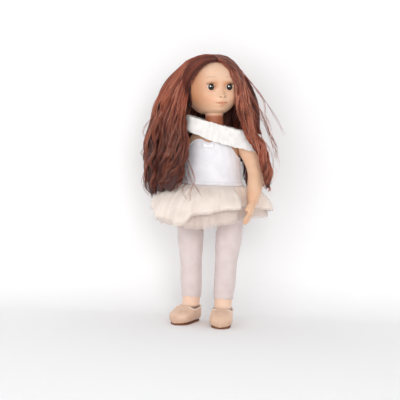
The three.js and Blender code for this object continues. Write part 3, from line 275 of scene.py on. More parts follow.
world = bpy.data.worlds.new("studio")
world.use_nodes = True
scene.world = world
sky = world.node_tree
path = sky.nodes.new("ShaderNodeLightPath")
seen = path.outputs["Is Camera Ray"]
for ray in ("Is Glossy Ray", "Is Transmission Ray"):
    either = sky.nodes.new("ShaderNodeMath")
    either.operation = "MAXIMUM"
    sky.links.new(seen, either.inputs[0])
    sky.links.new(path.outputs[ray], either.inputs[1])
    seen = either.outputs[0]
level = sky.nodes.new("ShaderNodeMapRange")
level.inputs["To Min"].default_value = AMBIENT
sky.links.new(seen, level.inputs["Value"])
sky.nodes["Background"].inputs["Color"].default_value = BACKDROP_WHITE
sky.links.new(level.outputs[0], sky.nodes["Background"].inputs["Strength"])


def soft_lamp(name, place, size, watts):
    """A square lamp that shines on the doll and isn't seen itself."""
    bpy.ops.object.light_add(type="AREA", location=place)
    lamp = bpy.context.object
    lamp.name = name
    lamp.data.size = size
    lamp.data.energy = watts
    lamp.rotation_euler = (Vector(DOLL_MIDDLE) - Vector(place)).to_track_quat("-Z", "Y").to_euler()
    lamp.visible_camera = False


soft_lamp("key_lamp", **KEY_LAMP)
soft_lamp("fill_lamp", **FILL_LAMP)
print("lamps in watts:", KEY_LAMP["watts"], FILL_LAMP["watts"], "ambient:", AMBIENT)

# %% Lay the paper
PAPER_FRONT = 6.0
PAPER_SIDE = 30.0
PAPER_TOP = 5.0
WALL_BEHIND = 0.13
SWEEP_R = 0.08
SWEEP_STEPS = 25
PAPER_GLOW = 0.05
PURE_WHITE = (1.0, 1.0, 1.0, 1.0)
# In millimetres: where the floor turns to the wall's white, and where far paper fades for the camera
WALL_WHITE_ABOVE = 70.0
FADE_START, FADE_END = 600.0, 1500.0

paper = Finish("backdrop_paper", BACKDROP_WHITE, 0.9)
paper_place = paper.millimetres()
fibres = paper.noise(paper_place, 40.0, 3.0)
paper_x, paper_y, paper_height = paper.parts(paper_place)
wall_white = paper.mix(fibres, tint(248, 248, 249), tint(252, 252, 252))
wall_share = paper.ramp(paper_height, 0.0, WALL_WHITE_ABOVE)
paper.put("Base Color", paper.mix(wall_share, tint(244, 244, 245), wall_white))
paper.put("Emission Color", PURE_WHITE)
paper.put("Emission Strength", PAPER_GLOW)
back_of_paper = paper.node("ShaderNodeNewGeometry", output="Backfacing")
nothing = paper.node("ShaderNodeBsdfTransparent")
front_of_paper = Wire(paper, paper.shader.outputs[0])
far_away = paper.ramp((paper_x * paper_x + paper_y * paper_y) ** 0.5, FADE_START, FADE_END)
in_sight = paper.node("ShaderNodeLightPath", output="Is Camera Ray")
plain_white = paper.node("ShaderNodeEmission", {}, {"Color": PURE_WHITE, "Strength": 1.0})
faded = paper.node("ShaderNodeMixShader", {}, {0: far_away * in_sight, 1: front_of_paper, 2: plain_white})
one_sided = paper.node("ShaderNodeMixShader", {}, {0: back_of_paper, 1: faded, 2: nothing})
paper.tree.links.new(one_sided.socket, paper.tree.nodes["Material Output"].inputs["Surface"])

turns = np.linspace(0, 0.5 * np.pi, SWEEP_STEPS)
bend = [(WALL_BEHIND - SWEEP_R * (1 - math.sin(t)), SWEEP_R * (1 - math.cos(t))) for t in turns]
profile = [(-PAPER_FRONT, 0.0), *bend, (WALL_BEHIND, PAPER_TOP)]
corners = [Vector((side * PAPER_SIDE / 2, back, high)) for back, high in profile for side in (-1, 1)]
faces = [(2 * k, 2 * k + 1, 2 * k + 3, 2 * k + 2) for k in range(len(profile) - 1)]
sweep_mesh = bpy.data.meshes.new("paper_sweep")
sweep_mesh.from_pydata([Matrix.Rotation(AZIMUTH, 3, "Z") @ corner for corner in corners], [], faces)
sweep_mesh.shade_smooth()
sweep_mesh.materials.append(paper.material)
paper_sweep = bpy.data.objects.new("paper_sweep", sweep_mesh)
scene.collection.objects.link(paper_sweep)
print("paper rises", WALL_BEHIND, "m behind the doll")

# %% [markdown]
# ## Tools for shaping
# Most of the doll is round and soft: limbs, cloth and shoes are all surfaces with a direction across and
# a direction along. So the basic tool adds a grid and lays it on such a surface, where a potter would
# pull a sheet of clay round a form. The measures are those of the solids, in millimetres.


# %% Make the shaping tools
def pick(*pieces):
    bpy.ops.object.select_all(action="DESELECT")
    for piece in pieces:
        piece.select_set(True)
    bpy.context.view_layer.objects.active = pieces[0]


def shade_round(piece):
    pick(piece)
    bpy.ops.object.shade_smooth()


def coordinates(piece):
    flat = np.empty(len(piece.data.vertices) * 3)
    piece.data.vertices.foreach_get("co", flat)
    return flat.reshape(-1, 3)


def lay(piece, points):
    """Put the points of a piece at new places, in metres."""
    piece.data.vertices.foreach_set("co", np.ascontiguousarray(points, dtype=float).ravel())
    piece.data.update()


def close_up(piece, capped):
    """Merge the seam of a rolled grid, fill its open ends if it has to be a solid, and face it outwards."""
    pick(piece)
    bpy.ops.object.mode_set(mode="EDIT")
    bpy.ops.mesh.select_mode(type="VERT")
    bpy.ops.mesh.select_all(action="SELECT")
    bpy.ops.mesh.remove_doubles(threshold=2e-6)
    if capped:
        bpy.ops.mesh.select_all(action="SELECT")
        bpy.ops.mesh.fill_holes(sides=0)
    bpy.ops.mesh.select_all(action="SELECT")
    bpy.ops.mesh.normals_make_consistent(inside=False)
    bpy.ops.object.mode_set(mode="OBJECT")


def shaped_grid(name, across, along, place, closed=False, capped=False):
    """A grid laid on the surface place(u, v), which gives millimetres for u across and v along, 0 to 1."""
    bpy.ops.mesh.primitive_grid_add(x_subdivisions=across, y_subdivisions=along, size=1.0)
    piece = bpy.context.object
    piece.name = name
    piece.data.name = name
    piece.data.uv_layers[0].name = FLAT_MAP
    flat = coordinates(piece) + 0.5
    lay(piece, place(flat[:, 0], flat[:, 1]) * MM)
    if closed or capped:
        close_up(piece, capped)
    shade_round(piece)
    return piece


def add_ball(name, segments, rings, radius):
    bpy.ops.mesh.primitive_uv_sphere_add(segments=segments, ring_count=rings, radius=radius)
    piece = bpy.context.object
    piece.name = name
    return piece


def modify(piece, kind, **settings):
    pick(piece)
    modifier = piece.modifiers.new(kind.lower(), kind)
    for key, value in settings.items():
        setattr(modifier, key, value)
    bpy.ops.object.modifier_apply(modifier=modifier.name)


def thicken(piece, wall):
    modify(piece, "SOLIDIFY", thickness=wall * MM, offset=-1.0, use_even_offset=False)


def join(name, pieces):
    pick(*pieces)
    bpy.ops.object.join()
    pieces[0].name = name
    pieces[0].data.name = name
    return pieces[0]


def fuse(piece, voxel, rounds):
    """Melt overlapping solids into one skin and smooth it."""
    close_up(piece, False)
    modify(piece, "REMESH", mode="VOXEL", voxel_size=voxel * MM)
    modify(piece, "SMOOTH", factor=0.5, iterations=rounds)
    shade_round(piece)


def cut(piece, cutter, operation="DIFFERENCE"):
    """Use one piece to cut or extend another, and delete it."""
    modify(piece, "BOOLEAN", object=cutter, operation=operation, solver="EXACT")
    pick(cutter)
    bpy.ops.object.delete()


def dress(piece, finish, nodes=(), body=None):
    """Give a finished piece its material, the solids it stands for and the body it rides on."""
    piece.data.materials.clear()
    piece.data.materials.append(finish.material)
    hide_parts(*nodes)
    if body:
        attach(piece, body)
    print(piece.name, "faces:", len(piece.data.polygons), "on:", body)
    return piece


print("ready: grids, balls, joins, cuts and walls")


# %% Draw smooth curves
def smooth(x):
    """A soft step from 0 to 1."""
    x = np.clip(x, 0.0, 1.0)
    return x * x * (3 - 2 * x)


def unit(vectors):
    """Vectors at length 1."""
    vectors = np.asarray(vectors, float)
    return vectors / np.linalg.norm(vectors, axis=-1, keepdims=True)


def outward(points, middle):
    """Level directions to points from an upright axis."""
    return unit((points - np.asarray(middle)) * [1, 1, 0])


def glide(a, b, c, d, t):
    """Points on a smooth curve from b to c, with a before them and d after."""
    return 0.5 * (2 * b + (c - a) * t + (2 * a - 5 * b + 4 * c - d) * t**2 + (3 * b - a - 3 * c + d) * t**3)


def spline(rows, share):
    """Points on a smooth curve through the rows, share from 0 to 1 along it."""
    rows = np.asarray(rows, float)
    last = len(rows) - 1
    place = np.clip(share, 0, 1) * last
    k = np.minimum(place.astype(int), last - 1)
    t = (place - k)[:, None]
    padded = np.vstack([2 * rows[0] - rows[1], rows, 2 * rows[-1] - rows[-2]])
    return glide(*(padded[k + step] for step in range(4)), t)


def smooth_at(table, at, column):
    """A size at a place, on a smooth curve through a table of (place, size, size) rows."""
    table = np.asarray(table, float)
    places, sizes = table[:, 0], table[:, column]
    at = np.asarray(at, float)
    last = len(places) - 1
    k = np.clip(np.searchsorted(places, at, side="right") - 1, 0, last - 1)
    low, high = np.maximum(k - 1, 0), np.minimum(k + 2, last)
    span = places[k + 1] - places[k]
    before = (sizes[k + 1] - sizes[low]) / (places[k + 1] - places[low]) * span
    after = (sizes[high] - sizes[k]) / (places[high] - places[k]) * span
    t = np.clip((at - places[k]) / span, 0, 1)
    return (
        sizes[k] * (2 * t**3 - 3 * t**2 + 1) + before * (t**3 - 2 * t**2 + t)
        + sizes[k + 1] * (3 * t**2 - 2 * t**3) + after * (t**3 - t**2)
    )


def ripple(points, size, seed):
    """Gentle seeded lumps about 1 high, with a wavelength of about size."""
    rng = np.random.default_rng(seed)
    total = np.zeros(len(points))
    waves = 7
    for _ in range(waves):
        direction = rng.normal(size=3)
        direction *= 2 * np.pi / size * rng.uniform(0.7, 1.4) / np.linalg.norm(direction)
        total += np.sin(points @ direction + rng.uniform(0, 2 * np.pi))
    return total / math.sqrt(waves)


print("a soft step at 0, 0.25 and 0.5:", smooth(0), smooth(0.25), smooth(0.5))

# %% Wrap surfaces round lines
SIDES = {"left": 1, "right": -1}
LIMB_GAP = 0.2


def moved(points, matrix):
    """Points carried by a matrix in millimetres."""
    turn = np.array(matrix.to_3x3())
    return points @ turn.T + np.array(matrix.to_translation())


def cross_axes(rows, facing, share):
    """Rows of a tube at shares of its length, with the directions of its two half thicknesses there."""
    row = spline(rows, share)
    step = 1e-3
    ahead = spline(rows, np.minimum(share + step, 1)) - spline(rows, np.maximum(share - step, 0))
    along = unit(ahead[:, :3])
    facing = np.asarray(facing, float)
    out = unit(facing - along * (along @ facing)[:, None])
    return row, out, np.cross(along, out)


def tube_place(rows, facing, grow=0.0, begin=0.0, end=1.0):
    """The surface of a tube through rows of x, y, z and two half thicknesses, the first along facing."""

    def place(u, v):
        row, out, beside = cross_axes(rows, facing, begin + (end - begin) * v)
        angle = 2 * np.pi * u
        wide = ((row[:, 3] + grow) * np.cos(angle))[:, None]
        deep = ((row[:, 4] + grow) * np.sin(angle))[:, None]
        return row[:, :3] + wide * out + deep * beside

    return place


def sided(place, sign, matrix, above=-np.inf):
    """A surface given for a left limb, held off the body above a height, on the side that the sign names."""

    def put(u, v):
        points = place(u, v)
        held_off = np.maximum(points[:, 0], LIMB_GAP)
        points[:, 0] = np.where(points[:, 2] > above, held_off, points[:, 0])
        return moved(points * [sign, 1, 1], matrix)

    return put


print("ready: tubes and limbs, kept", LIMB_GAP, "mm off the body")

# %% Measure the torso
HIP = 196.0
SHOULDER = 300.0
NECK = 331.5
WAIST = 237.0
CROTCH = 172.0
TORSO_BACK = 1.0
TORSO_MIDDLE = (0, TORSO_BACK, 0)
# Above the hip, half width and half depth
TORSO = [
    (-24, 13, 14), (-16, 26, 25), (0, 46, 33), (18, 51, 36.5), (34, 50, 36), (58, 46, 34),
    (86, 44, 34.5), (104, 43.5, 33), (115.5, 40, 28), (124.5, 32, 24), (131.5, 23, 20), (135.5, 19, 18),
]


def torso_size(height, grow):
    """Half width and half depth of the torso at a height."""
    return (smooth_at(TORSO, height - HIP, column) + grow for column in (1, 2))


def torso_point(angle, height, grow):
    half, deep = torso_size(height, grow)
    return np.stack([half * np.cos(angle), TORSO_BACK + deep * np.sin(angle), height + 0 * angle], 1)


def torso_reach(angle, height, grow):
    half, deep = torso_size(height, grow)
    return half * deep / np.hypot(deep * np.cos(angle), half * np.sin(angle))


print("waist of the doll, mm:", float(smooth_at(TORSO, WAIST - HIP, 1)) * 2)

# %% [markdown]
# ## Vinyl skin
# Play dolls are cast in soft vinyl. It is matt with a low sheen, a little see-through, and warmer where
# it is thin or shaded. The face is sprayed and painted by hand: cheeks, lids, lips and brows. Some layers
# of the face paint are painted light and shade as well: a darker far cheek, throat and nostrils, painted
# shade under the lower lip, and a lighter chin. The paint is laid on in the frame of the skull, so it
# stays in place however the head is turned.

# %% Mix the vinyl
SKIN_LIGHT = tint(231, 190, 159)
SKIN_WARM = tint(225, 178, 144)


def vinyl(name):
    finish = Finish(name, SKIN_LIGHT, 0.46, subsurface_weight=0.12, subsurface_scale=0.004)
    finish.put("Subsurface Radius", (1.0, 0.45, 0.25))
    finish.put("Specular IOR Level", 0.42)
    coords = finish.millimetres()
    cloud = finish.noise(coords, 28.0, 2.0)
    colour = finish.mix(finish.ramp(cloud, 0.35, 0.75), SKIN_LIGHT, SKIN_WARM)
    finish.put("Roughness", 0.4 + 0.14 * finish.noise(coords, 6.0, 3.0))
    finish.emboss(finish.noise(coords, 0.7, 2.0), 0.05, 0.35)
    return finish, colour


limb_vinyl, limb_colour = vinyl("limb_vinyl")
_, _, limb_height = limb_vinyl.parts(limb_vinyl.millimetres())
ankle = 1 - limb_vinyl.ramp(limb_height, 55.0, 90.0)
limb_colour = limb_vinyl.mix(0.8 * ankle, limb_colour, tint(244, 212, 190))
# Painted shade: the skin of the foot is darkened inside the slipper and just above its edge, where the
# slipper shades it.
slipper_edge_shade = 1 - limb_vinyl.ramp(limb_height, 26.0, 30.5)
limb_vinyl.put("Base Color", limb_vinyl.mix(0.85 * slipper_edge_shade, limb_colour, tint(104, 60, 42)))
print("vinyl for the limbs:", limb_vinyl.material.name)

# %% Paint the face
HEAD_TURN = math.radians(33.0)
HEAD_TILT = math.radians(-2.8)
NECK_R = 15.0
SKULL_HALF, SKULL_HIGH = 46.0, 48.0
SKULL_FRONT, SKULL_DEEP = 44.0, 48.0
SKULL_SET_BACK = 11.0
SKULL_UP = 67.0
SKULL_SQUARE = 2.4
JAW_TAPER = 0.2
JAW_SQUARE = 2.8
EYE_ASIDE = 16.0
EYE_UP = 64.0
EYE_DEPTH = -24.57
EYE_R = 8.0
EYELID_R = 8.9
MOUTH_BELOW = 26.2
MOUTH_BEND = 0.005

head_frame = Matrix.Translation((0, 0, NECK)) @ Matrix.Rotation(HEAD_TURN, 4, "Z")
skull_frame = (
    head_frame @ Matrix.Translation((0, 0, NECK_R)) @ Matrix.Rotation(HEAD_TILT, 4, "Y")
    @ Matrix.Translation((0, 0, -NECK_R))
)

face_vinyl, face_colour = vinyl("face_vinyl")
aside, depth, up = face_vinyl.parts(face_vinyl.millimetres(skull_frame))
up = up - EYE_UP
half = face_vinyl.size_of(aside)
front = face_vinyl.ramp(0 - depth, 4.0, 16.0)

forehead = face_vinyl.ramp(up, 0.0, 26.0) * front
blush = face_vinyl.spot(half - 21.0, up + 19.0, 10.0, 9.0) * front
# Painted shade: the side of the face turned away from the key lamp is darkened.
shaded_far_cheek = face_vinyl.ramp(0 - aside, 12.0, 42.0)
# Painted light: the chin, which faces down, is painted lighter.
chin = face_vinyl.spot(aside, up + 39.0, 17.0, 7.0) * front
# Painted shade: the throat under the chin is darkened.
throat = face_vinyl.ramp(0 - up, 43.0, 49.0)
# Painted shade in the nostrils.
nostril_shade = face_vinyl.spot(half - 3.5, up + 16.4, 1.7, 1.1) * front
lid_shade = face_vinyl.spot(half - 13.5, up - 6.5, 9.0, 4.5) * front
inner_shade = face_vinyl.spot(half - 8.0, up - 2.5, 3.6, 5.5) * front
lower_lid = face_vinyl.spot(half - EYE_ASIDE, up + 6.6, 6.5, 1.6) * front
brow_line = up - (16.6 - 0.016 * (half - 15.0) * (half - 15.0))
brow_ends = face_vinyl.ramp(half, 6.5, 10.0) * (1 - face_vinyl.ramp(half, 21.0, 25.5))
brow = face_vinyl.spot(0 * half, brow_line, 1.0, 0.75) * brow_ends * front
smile = up + MOUTH_BELOW - MOUTH_BEND * aside * aside
upper_edge = face_vinyl.ramp(smile + 0.028 * aside * aside, 2.2, 3.4)
upper_lip = face_vinyl.ramp(smile, -0.3, 0.5) * (1 - upper_edge)
lower_edge = face_vinyl.ramp(0.05 * aside * aside - smile, 3.2, 4.6)
lower_lip = face_vinyl.ramp(0 - smile, -0.3, 0.5) * (1 - lower_edge)
lips = (upper_lip + lower_lip) * (1 - face_vinyl.ramp(half, 8.0, 11.5)) * front
# Painted shade under the lower lip.
under_lip_shade = face_vinyl.spot(half, smile + 6.6, 6.0, 1.8) * front
crease = face_vinyl.spot(0 * half, smile, 1.0, 0.6) * (1 - face_vinyl.ramp(half, 9.0, 13.0)) * front

FACE_PAINT = [
    (0.42 * forehead, tint(243, 209, 184)),
    (0.4 * blush, tint(230, 158, 120)),
    (0.82 * shaded_far_cheek, tint(188, 122, 80)),
    (0.85 * chin, tint(250, 208, 176)),
    (0.95 * throat, tint(166, 92, 60)),
    (0.85 * nostril_shade, tint(138, 86, 58)),
    (0.62 * lid_shade, tint(206, 138, 92)),
    (0.6 * inner_shade, tint(190, 118, 74)),
    (0.5 * lower_lid, tint(196, 132, 100)),
    (0.35 * brow, tint(150, 98, 66)),
    (0.62 * lips, tint(206, 132, 104)),
    (0.4 * under_lip_shade, tint(190, 124, 88)),
    (0.55 * crease, tint(150, 86, 62)),
]
for share, paint in FACE_PAINT:
    face_colour = face_vinyl.mix(share, face_colour, paint)
face_vinyl.put("Base Color", face_colour)
print("layers of face paint:", len(FACE_PAINT))

# %% [markdown]
# ## The head
# A ball with many faces is pulled into the shape of the skull, closest together in front, where the face
# is. The features are soft hills and hollows pushed out of it. Lids wrap round the eyeballs as rims, and
# behind each rim the skin drops back into a pit that holds the eye. The neck is joined on by a boolean.

# %% Shape the face
LID_RIM_R = 9.75
OPENING_HALF_WIDTH = 7.1
OPENING_HALF_HEIGHT = 5.0
PIT_DEPTH = 2.0
LID_SOFTNESS = 1.3
LID_SLANT = 0.06
MOUTH_LINE_DEPTH = 1.2
MOUTH_LINE_WIDTH = 0.95
MOUTH_LINE_HALF = 12.0
# Out, aside, below the eyes, wide, tall
FACE_HILLS = [
    (1.2, 15.0, -12.5, 13.0, 5.0),
    (2.6, 0.0, 2.0, 4.8, 8.5),
    (6.4, 0.0, 13.6, 4.8, 5.0),
    (1.7, 4.4, 15.8, 2.5, 2.3),
    (-1.0, 2.4, 18.0, 1.5, 1.2),
    (4.0, 21.0, 20.0, 11.0, 11.0),
    (10.0, 0.0, 26.0, 18.0, 14.5),
    (1.7, 2.6, 24.2, 5.2, 1.7),
    (2.0, 0.0, 28.9, 6.4, 2.0),
    (-1.4, 0.0, 32.8, 7.0, 2.2),
    (-1.0, 10.8, 25.4, 2.0, 2.2),
    (6.5, 0.0, 38.0, 14.5, 10.0),
    (0.6, 0.0, -30.0, 26.0, 16.0),
]


def girth_at(z):
    """Share of the skull's girth at a height, from -1 at the chin to 1 at the crown."""
    square = np.where(z < 0, JAW_SQUARE, 2.0)
    return np.maximum(1 - np.minimum(np.abs(z), 1) ** square, 0) ** (1 / square)


def skull_points(direction, grow=0.0):
    """Places on the skull in its own frame, for directions on a ball."""
    x, y, z = direction.T
    squared = np.abs(x) ** SKULL_SQUARE + np.abs(y) ** SKULL_SQUARE
    plan = girth_at(z) * np.maximum(squared, 1e-12) ** (-1 / SKULL_SQUARE)
    taper = 1 - JAW_TAPER * smooth(-z)
    deep = np.where(y < 0, SKULL_FRONT, SKULL_DEEP) + grow
    return np.stack([
        (SKULL_HALF * taper + grow) * x * plan,
        SKULL_SET_BACK + deep * y * plan,
        SKULL_UP + (SKULL_HIGH + grow) * z,
    ], 1)


def face_points(direction):
    """The skull with the face on it: hills, the line of the mouth, lids and pits for the eyes."""
    points = skull_points(direction)
    x, y, z = points.T
    ahead = np.clip(-2 * direction[:, 1], 0, 1)
    out = np.zeros(len(points))
    for height, place_x, below, wide, tall in FACE_HILLS:
        sides = (-1, 1) if place_x else (1,)
        for side in sides:
            out += height * np.exp(-(((x - side * place_x) / wide) ** 2) - ((z - EYE_UP + below) / tall) ** 2)
    above_line = z - EYE_UP + MOUTH_BELOW - MOUTH_BEND * x**2
    line = np.exp(-((above_line / MOUTH_LINE_WIDTH) ** 2)) * smooth((MOUTH_LINE_HALF - np.abs(x)) / 4)
    out -= MOUTH_LINE_DEPTH * line
    y = y - out * ahead
    for side in (-1, 1):
        dx, dz = x - side * EYE_ASIDE, z - EYE_UP
        ring = np.hypot(dx, dz)
        rim = EYE_DEPTH - np.sqrt(np.maximum(LID_RIM_R**2 - ring**2, 0))
        share = np.clip(0.5 + 0.5 * (y - rim) / LID_SOFTNESS, 0, 1)
        lidded = y * (1 - share) + rim * share - LID_SOFTNESS * share * (1 - share)
        y = np.where((ring < LID_RIM_R) & (direction[:, 1] < 0), lidded, y)
        slant = LID_SLANT * side * dx
        opening = np.hypot(dx / OPENING_HALF_WIDTH, (dz - slant) / OPENING_HALF_HEIGHT)
        pit = smooth((1.07 - opening) / 0.17) * (direction[:, 1] < 0)
        y = y * (1 - pit) + (EYE_DEPTH - PIT_DEPTH) * pit
    return np.stack([x, y, z], 1)


print("hills of the face:", len(FACE_HILLS))

# %% Pull a ball into the head
HEAD_SEGMENTS = 256
HEAD_RINGS = 230
FACE_DENSITY = 0.42
# Radius and height of the neck, from below
NECK_PROFILE = [(12.4, -16), (12.4, 0.2), (15.6, 0.4), (15.9, 2), (15.0, 8), (14.8, 18), (15.6, 27), (17, 36)]

head = add_ball("head", HEAD_SEGMENTS, HEAD_RINGS, 1.0)
ball = coordinates(head)
round_angle = np.arctan2(ball[:, 0], -ball[:, 1])
round_angle -= FACE_DENSITY * np.sin(round_angle)
flat = np.hypot(ball[:, 0], ball[:, 1])
ball = np.stack([flat * np.sin(round_angle), -flat * np.cos(round_angle), ball[:, 2]], 1)
lay(head, moved(face_points(ball), skull_frame) * MM)


def neck_place(u, v):
    row = spline(NECK_PROFILE, v)
    angle = 2 * np.pi * u
    points = np.stack([row[:, 0] * np.cos(angle), row[:, 0] * np.sin(angle), row[:, 1]], 1)
    return moved(points, head_frame)


neck = shaped_grid("neck", 96, 60, neck_place, capped=True)
close_up(head, False)
cut(head, neck, "UNION")
shade_round(head)
dress(head, face_vinyl, ["head_shell"], "head")

# %% [markdown]
# ## The eyes
# The doll has sleep eyes: hard white balls with a dark, glossy iris, on one wire with a weight. The upper
# lid is a cap on the ball and tips shut with it. Each piece starts as a ball whose pole looks forward, so
# rings of colour and cuts across the look are easy.

# %% Colour the eyes
IRIS_R = 5.2

eye_white = grained("eye_white", (tint(238, 233, 228), tint(222, 212, 206)), 0.12, 3.0, coat_weight=0.6)
eye_frames = {
    side: skull_frame @ Matrix.Translation((sign * EYE_ASIDE, EYE_DEPTH, EYE_UP))
    for side, sign in SIDES.items()
}


def iris_glass(side):
    """Dark glass with fine rays, a ring and two painted glints."""
    finish = Finish(f"iris_glass_{side}", tint(20, 15, 13), 0.08)
    finish.put("Specular IOR Level", 0.3)
    look = finish.millimetres(eye_frames[side])
    x, _, z = finish.parts(look)
    reach = (x * x + z * z) ** 0.5
    stops = [
        (0.0, tint(5, 4, 4)), (0.5, tint(8, 6, 5)), (0.6, tint(30, 21, 17)),
        (0.85, tint(40, 29, 23)), (0.95, tint(16, 11, 9)), (1.0, tint(9, 7, 6)),
    ]
    rings = finish.node("ShaderNodeValToRGB", {"stops": stops}, {0: reach / IRIS_R})
    turn = finish.node("ShaderNodeMath", {"operation": "ARCTAN2"}, {0: z, 1: x})
    rays = 0.5 + 0.5 * finish.sine(turn * 23.0 + 4.0 * finish.noise(look, 1.2))
    colour = finish.mix(0.3 * rays, rings, tint(22, 15, 12))
    # Painted highlights: two glints that stand for reflections of light on the glass.
    glint = finish.ramp(finish.spot(x + 1.9, z - 1.3, 1.3, 1.1), 0.3, 0.55)
    small_glint = finish.ramp(finish.spot(x - 1.5, z - 0.6, 0.9, 0.8), 0.3, 0.6)
    colour = finish.mix(0.5 * small_glint, colour, tint(190, 186, 184))
    finish.put("Base Color", finish.mix(0.95 * glint, colour, tint(250, 250, 248)))
    return finish


print("iris across, mm:", 2 * IRIS_R)

# %% Make eyeballs, irises and lids
EYE_SEGMENTS, EYE_RINGS = 64, 40
IRIS_BULGE = 0.45
LID_EDGE = math.radians(33.0)
LID_WALL = 0.55


def eye_ball(name, radius):
    """A ball at the origin whose poles lie along the look, which is -Y."""
    piece = add_ball(name, EYE_SEGMENTS, EYE_RINGS, radius * MM)
    x, y, z = coordinates(piece).T
    lay(piece, np.stack([x, -z, y], 1))
    shade_round(piece)
    return piece


def slice_off(piece, point, normal, fill):
    """Cut a piece by a plane and drop what lies on the normal's side."""
    pick(piece)
    bpy.ops.object.mode_set(mode="EDIT")
    bpy.ops.mesh.select_all(action="SELECT")
    bpy.ops.mesh.bisect(plane_co=point, plane_no=normal, use_fill=fill, clear_outer=True)
    bpy.ops.object.mode_set(mode="OBJECT")


def into_eye(piece, side):
    """Carry a piece from the origin to its eye."""
    lay(piece, moved(coordinates(piece) / MM, eye_frames[side]) * MM)


lid_vinyl, lid_colour = vinyl("lid_vinyl")
lid_vinyl.put("Base Color", lid_vinyl.mix(0.55, lid_colour, tint(196, 128, 88)))
IRIS_PLANE = -math.sqrt(EYE_R**2 - IRIS_R**2)
for side in SIDES:
    eyeball = eye_ball(f"eye_{side}", EYE_R - 0.05)
    into_eye(eyeball, side)
    dress(eyeball, eye_white, [f"eyeball_{side}"], "eyes")

    lens = eye_ball(f"iris_{side}", EYE_R)
    slice_off(lens, (0, IRIS_PLANE * MM, 0), (0, 1, 0), True)
    bulge = coordinates(lens)
    swell = np.clip((IRIS_PLANE * MM - bulge[:, 1]) / ((EYE_R + IRIS_PLANE) * MM), 0, 1)
    bulge[:, 1] -= IRIS_BULGE * MM * swell
    lay(lens, bulge)
    into_eye(lens, side)
    dress(lens, iris_glass(side), [f"eye_lens_{side}"], "eyes")

    lid = eye_ball(f"lid_{side}", EYELID_R)
    edge = (0, -math.sin(LID_EDGE), -math.cos(LID_EDGE))
    slice_off(lid, (0, 0, 0), edge, False)
    thicken(lid, LID_WALL)
    into_eye(lid, side)
    dress(lid, lid_vinyl, [f"eyelid_{side}"], "eyes")

# %% [markdown]
# ## Strands
# Hair and lashes are many thin tapering tubes. A tube with three sides is enough at this size. All
# strands of a lock are made in one go from arrays, because adding thousands of curves one by one would
# take minutes. Each strand gets a row of the flat map, so that the shade can change from strand to strand
# and from root to tip. The first use is the lashes, a fan along the edge of each lid.

# %% Make the strand tool
SHADE_ROWS = 64
STRAND_SIDES = 3


def strands(name, paths, radii, rows):
    """Tapering tubes along paths (strand, point, xyz) in millimetres, with radii and one shade row each."""
    count, rings, _ = paths.shape
    along = np.gradient(paths, axis=1)
    along /= np.linalg.norm(along, axis=2, keepdims=True) + 1e-12
    first = along[:, 0]
    steep = np.abs(first[:, 2:]) > 0.7
    carried = np.cross(first, np.where(steep, [[1.0, 0.0, 0.0]], [[0.0, 0.0, 1.0]]))
    side = np.empty_like(along)
    for ring in range(rings):
        carried = carried - along[:, ring] * (carried * along[:, ring]).sum(1, keepdims=True)
        carried = carried / (np.linalg.norm(carried, axis=1, keepdims=True) + 1e-12)
        side[:, ring] = carried
    other = np.cross(along, side)
    angle = np.arange(STRAND_SIDES) * 2 * np.pi / STRAND_SIDES
    spread = np.cos(angle)[:, None] * side[:, :, None, :] + np.sin(angle)[:, None] * other[:, :, None, :]
    points = paths[:, :, None, :] + radii[:, :, None, None] * spread

    base = (np.arange(count)[:, None] * rings + np.arange(rings)[None, :]) * STRAND_SIDES
    walls = []
    flats = []
    low = (np.asarray(rows) + 0.2) / SHADE_ROWS
    share = np.linspace(0, 1, rings)
    for k in range(STRAND_SIDES):
        ahead = (k + 1) % STRAND_SIDES
        near, far = base[:, :-1], base[:, 1:]
        walls.append(np.stack([near + k, near + ahead, far + ahead, far + k], -1).reshape(-1, 4))
        v_low = low[:, None] + 0.6 * k / STRAND_SIDES / SHADE_ROWS + 0 * share[:-1]
        v_high = low[:, None] + 0.6 * (k + 1) / STRAND_SIDES / SHADE_ROWS + 0 * share[:-1]
        u_near, u_far = np.broadcast_to(share[:-1], v_low.shape), np.broadcast_to(share[1:], v_low.shape)
        corners = [(u_near, v_low), (u_near, v_high), (u_far, v_high), (u_far, v_low)]
        flats.append(np.stack([np.stack(c, -1) for c in corners], -2).reshape(-1, 4, 2))
    tips = np.concatenate([base[:, :1] + [[0, 2, 1]], base[:, -1:] + [[0, 1, 2]]])
    tip_u = np.repeat([0.0, 1.0], count)
    tip_v = np.tile(low + 0.3 / SHADE_ROWS, 2)
    tip_corners = 0.1 / SHADE_ROWS * np.array([[0, 0], [0, 1], [1, 0]])
    tip_flat = np.stack([tip_u, tip_v], -1)[:, None, :] + tip_corners

    mesh = bpy.data.meshes.new(name)
    faces = np.concatenate(walls).tolist() + tips.tolist()
    mesh.from_pydata((points.reshape(-1, 3) * MM).tolist(), [], faces)
    flat_map = mesh.uv_layers.new(name=FLAT_MAP)
    corners = np.concatenate([np.concatenate(flats).reshape(-1, 2), tip_flat.reshape(-1, 2)])
    flat_map.data.foreach_set("uv", corners.ravel())
    piece = bpy.data.objects.new(name, mesh)
    scene.collection.objects.link(piece)
    shade_round(piece)
    return piece


print("sides of a strand:", STRAND_SIDES, "rows of shade:", SHADE_ROWS)

# %% Set the lashes
LASHES = 34
LASH_LENGTH = 4.2
LASH_R = 0.2
LASH_SPREAD = 0.86
LASH_SEED = 30

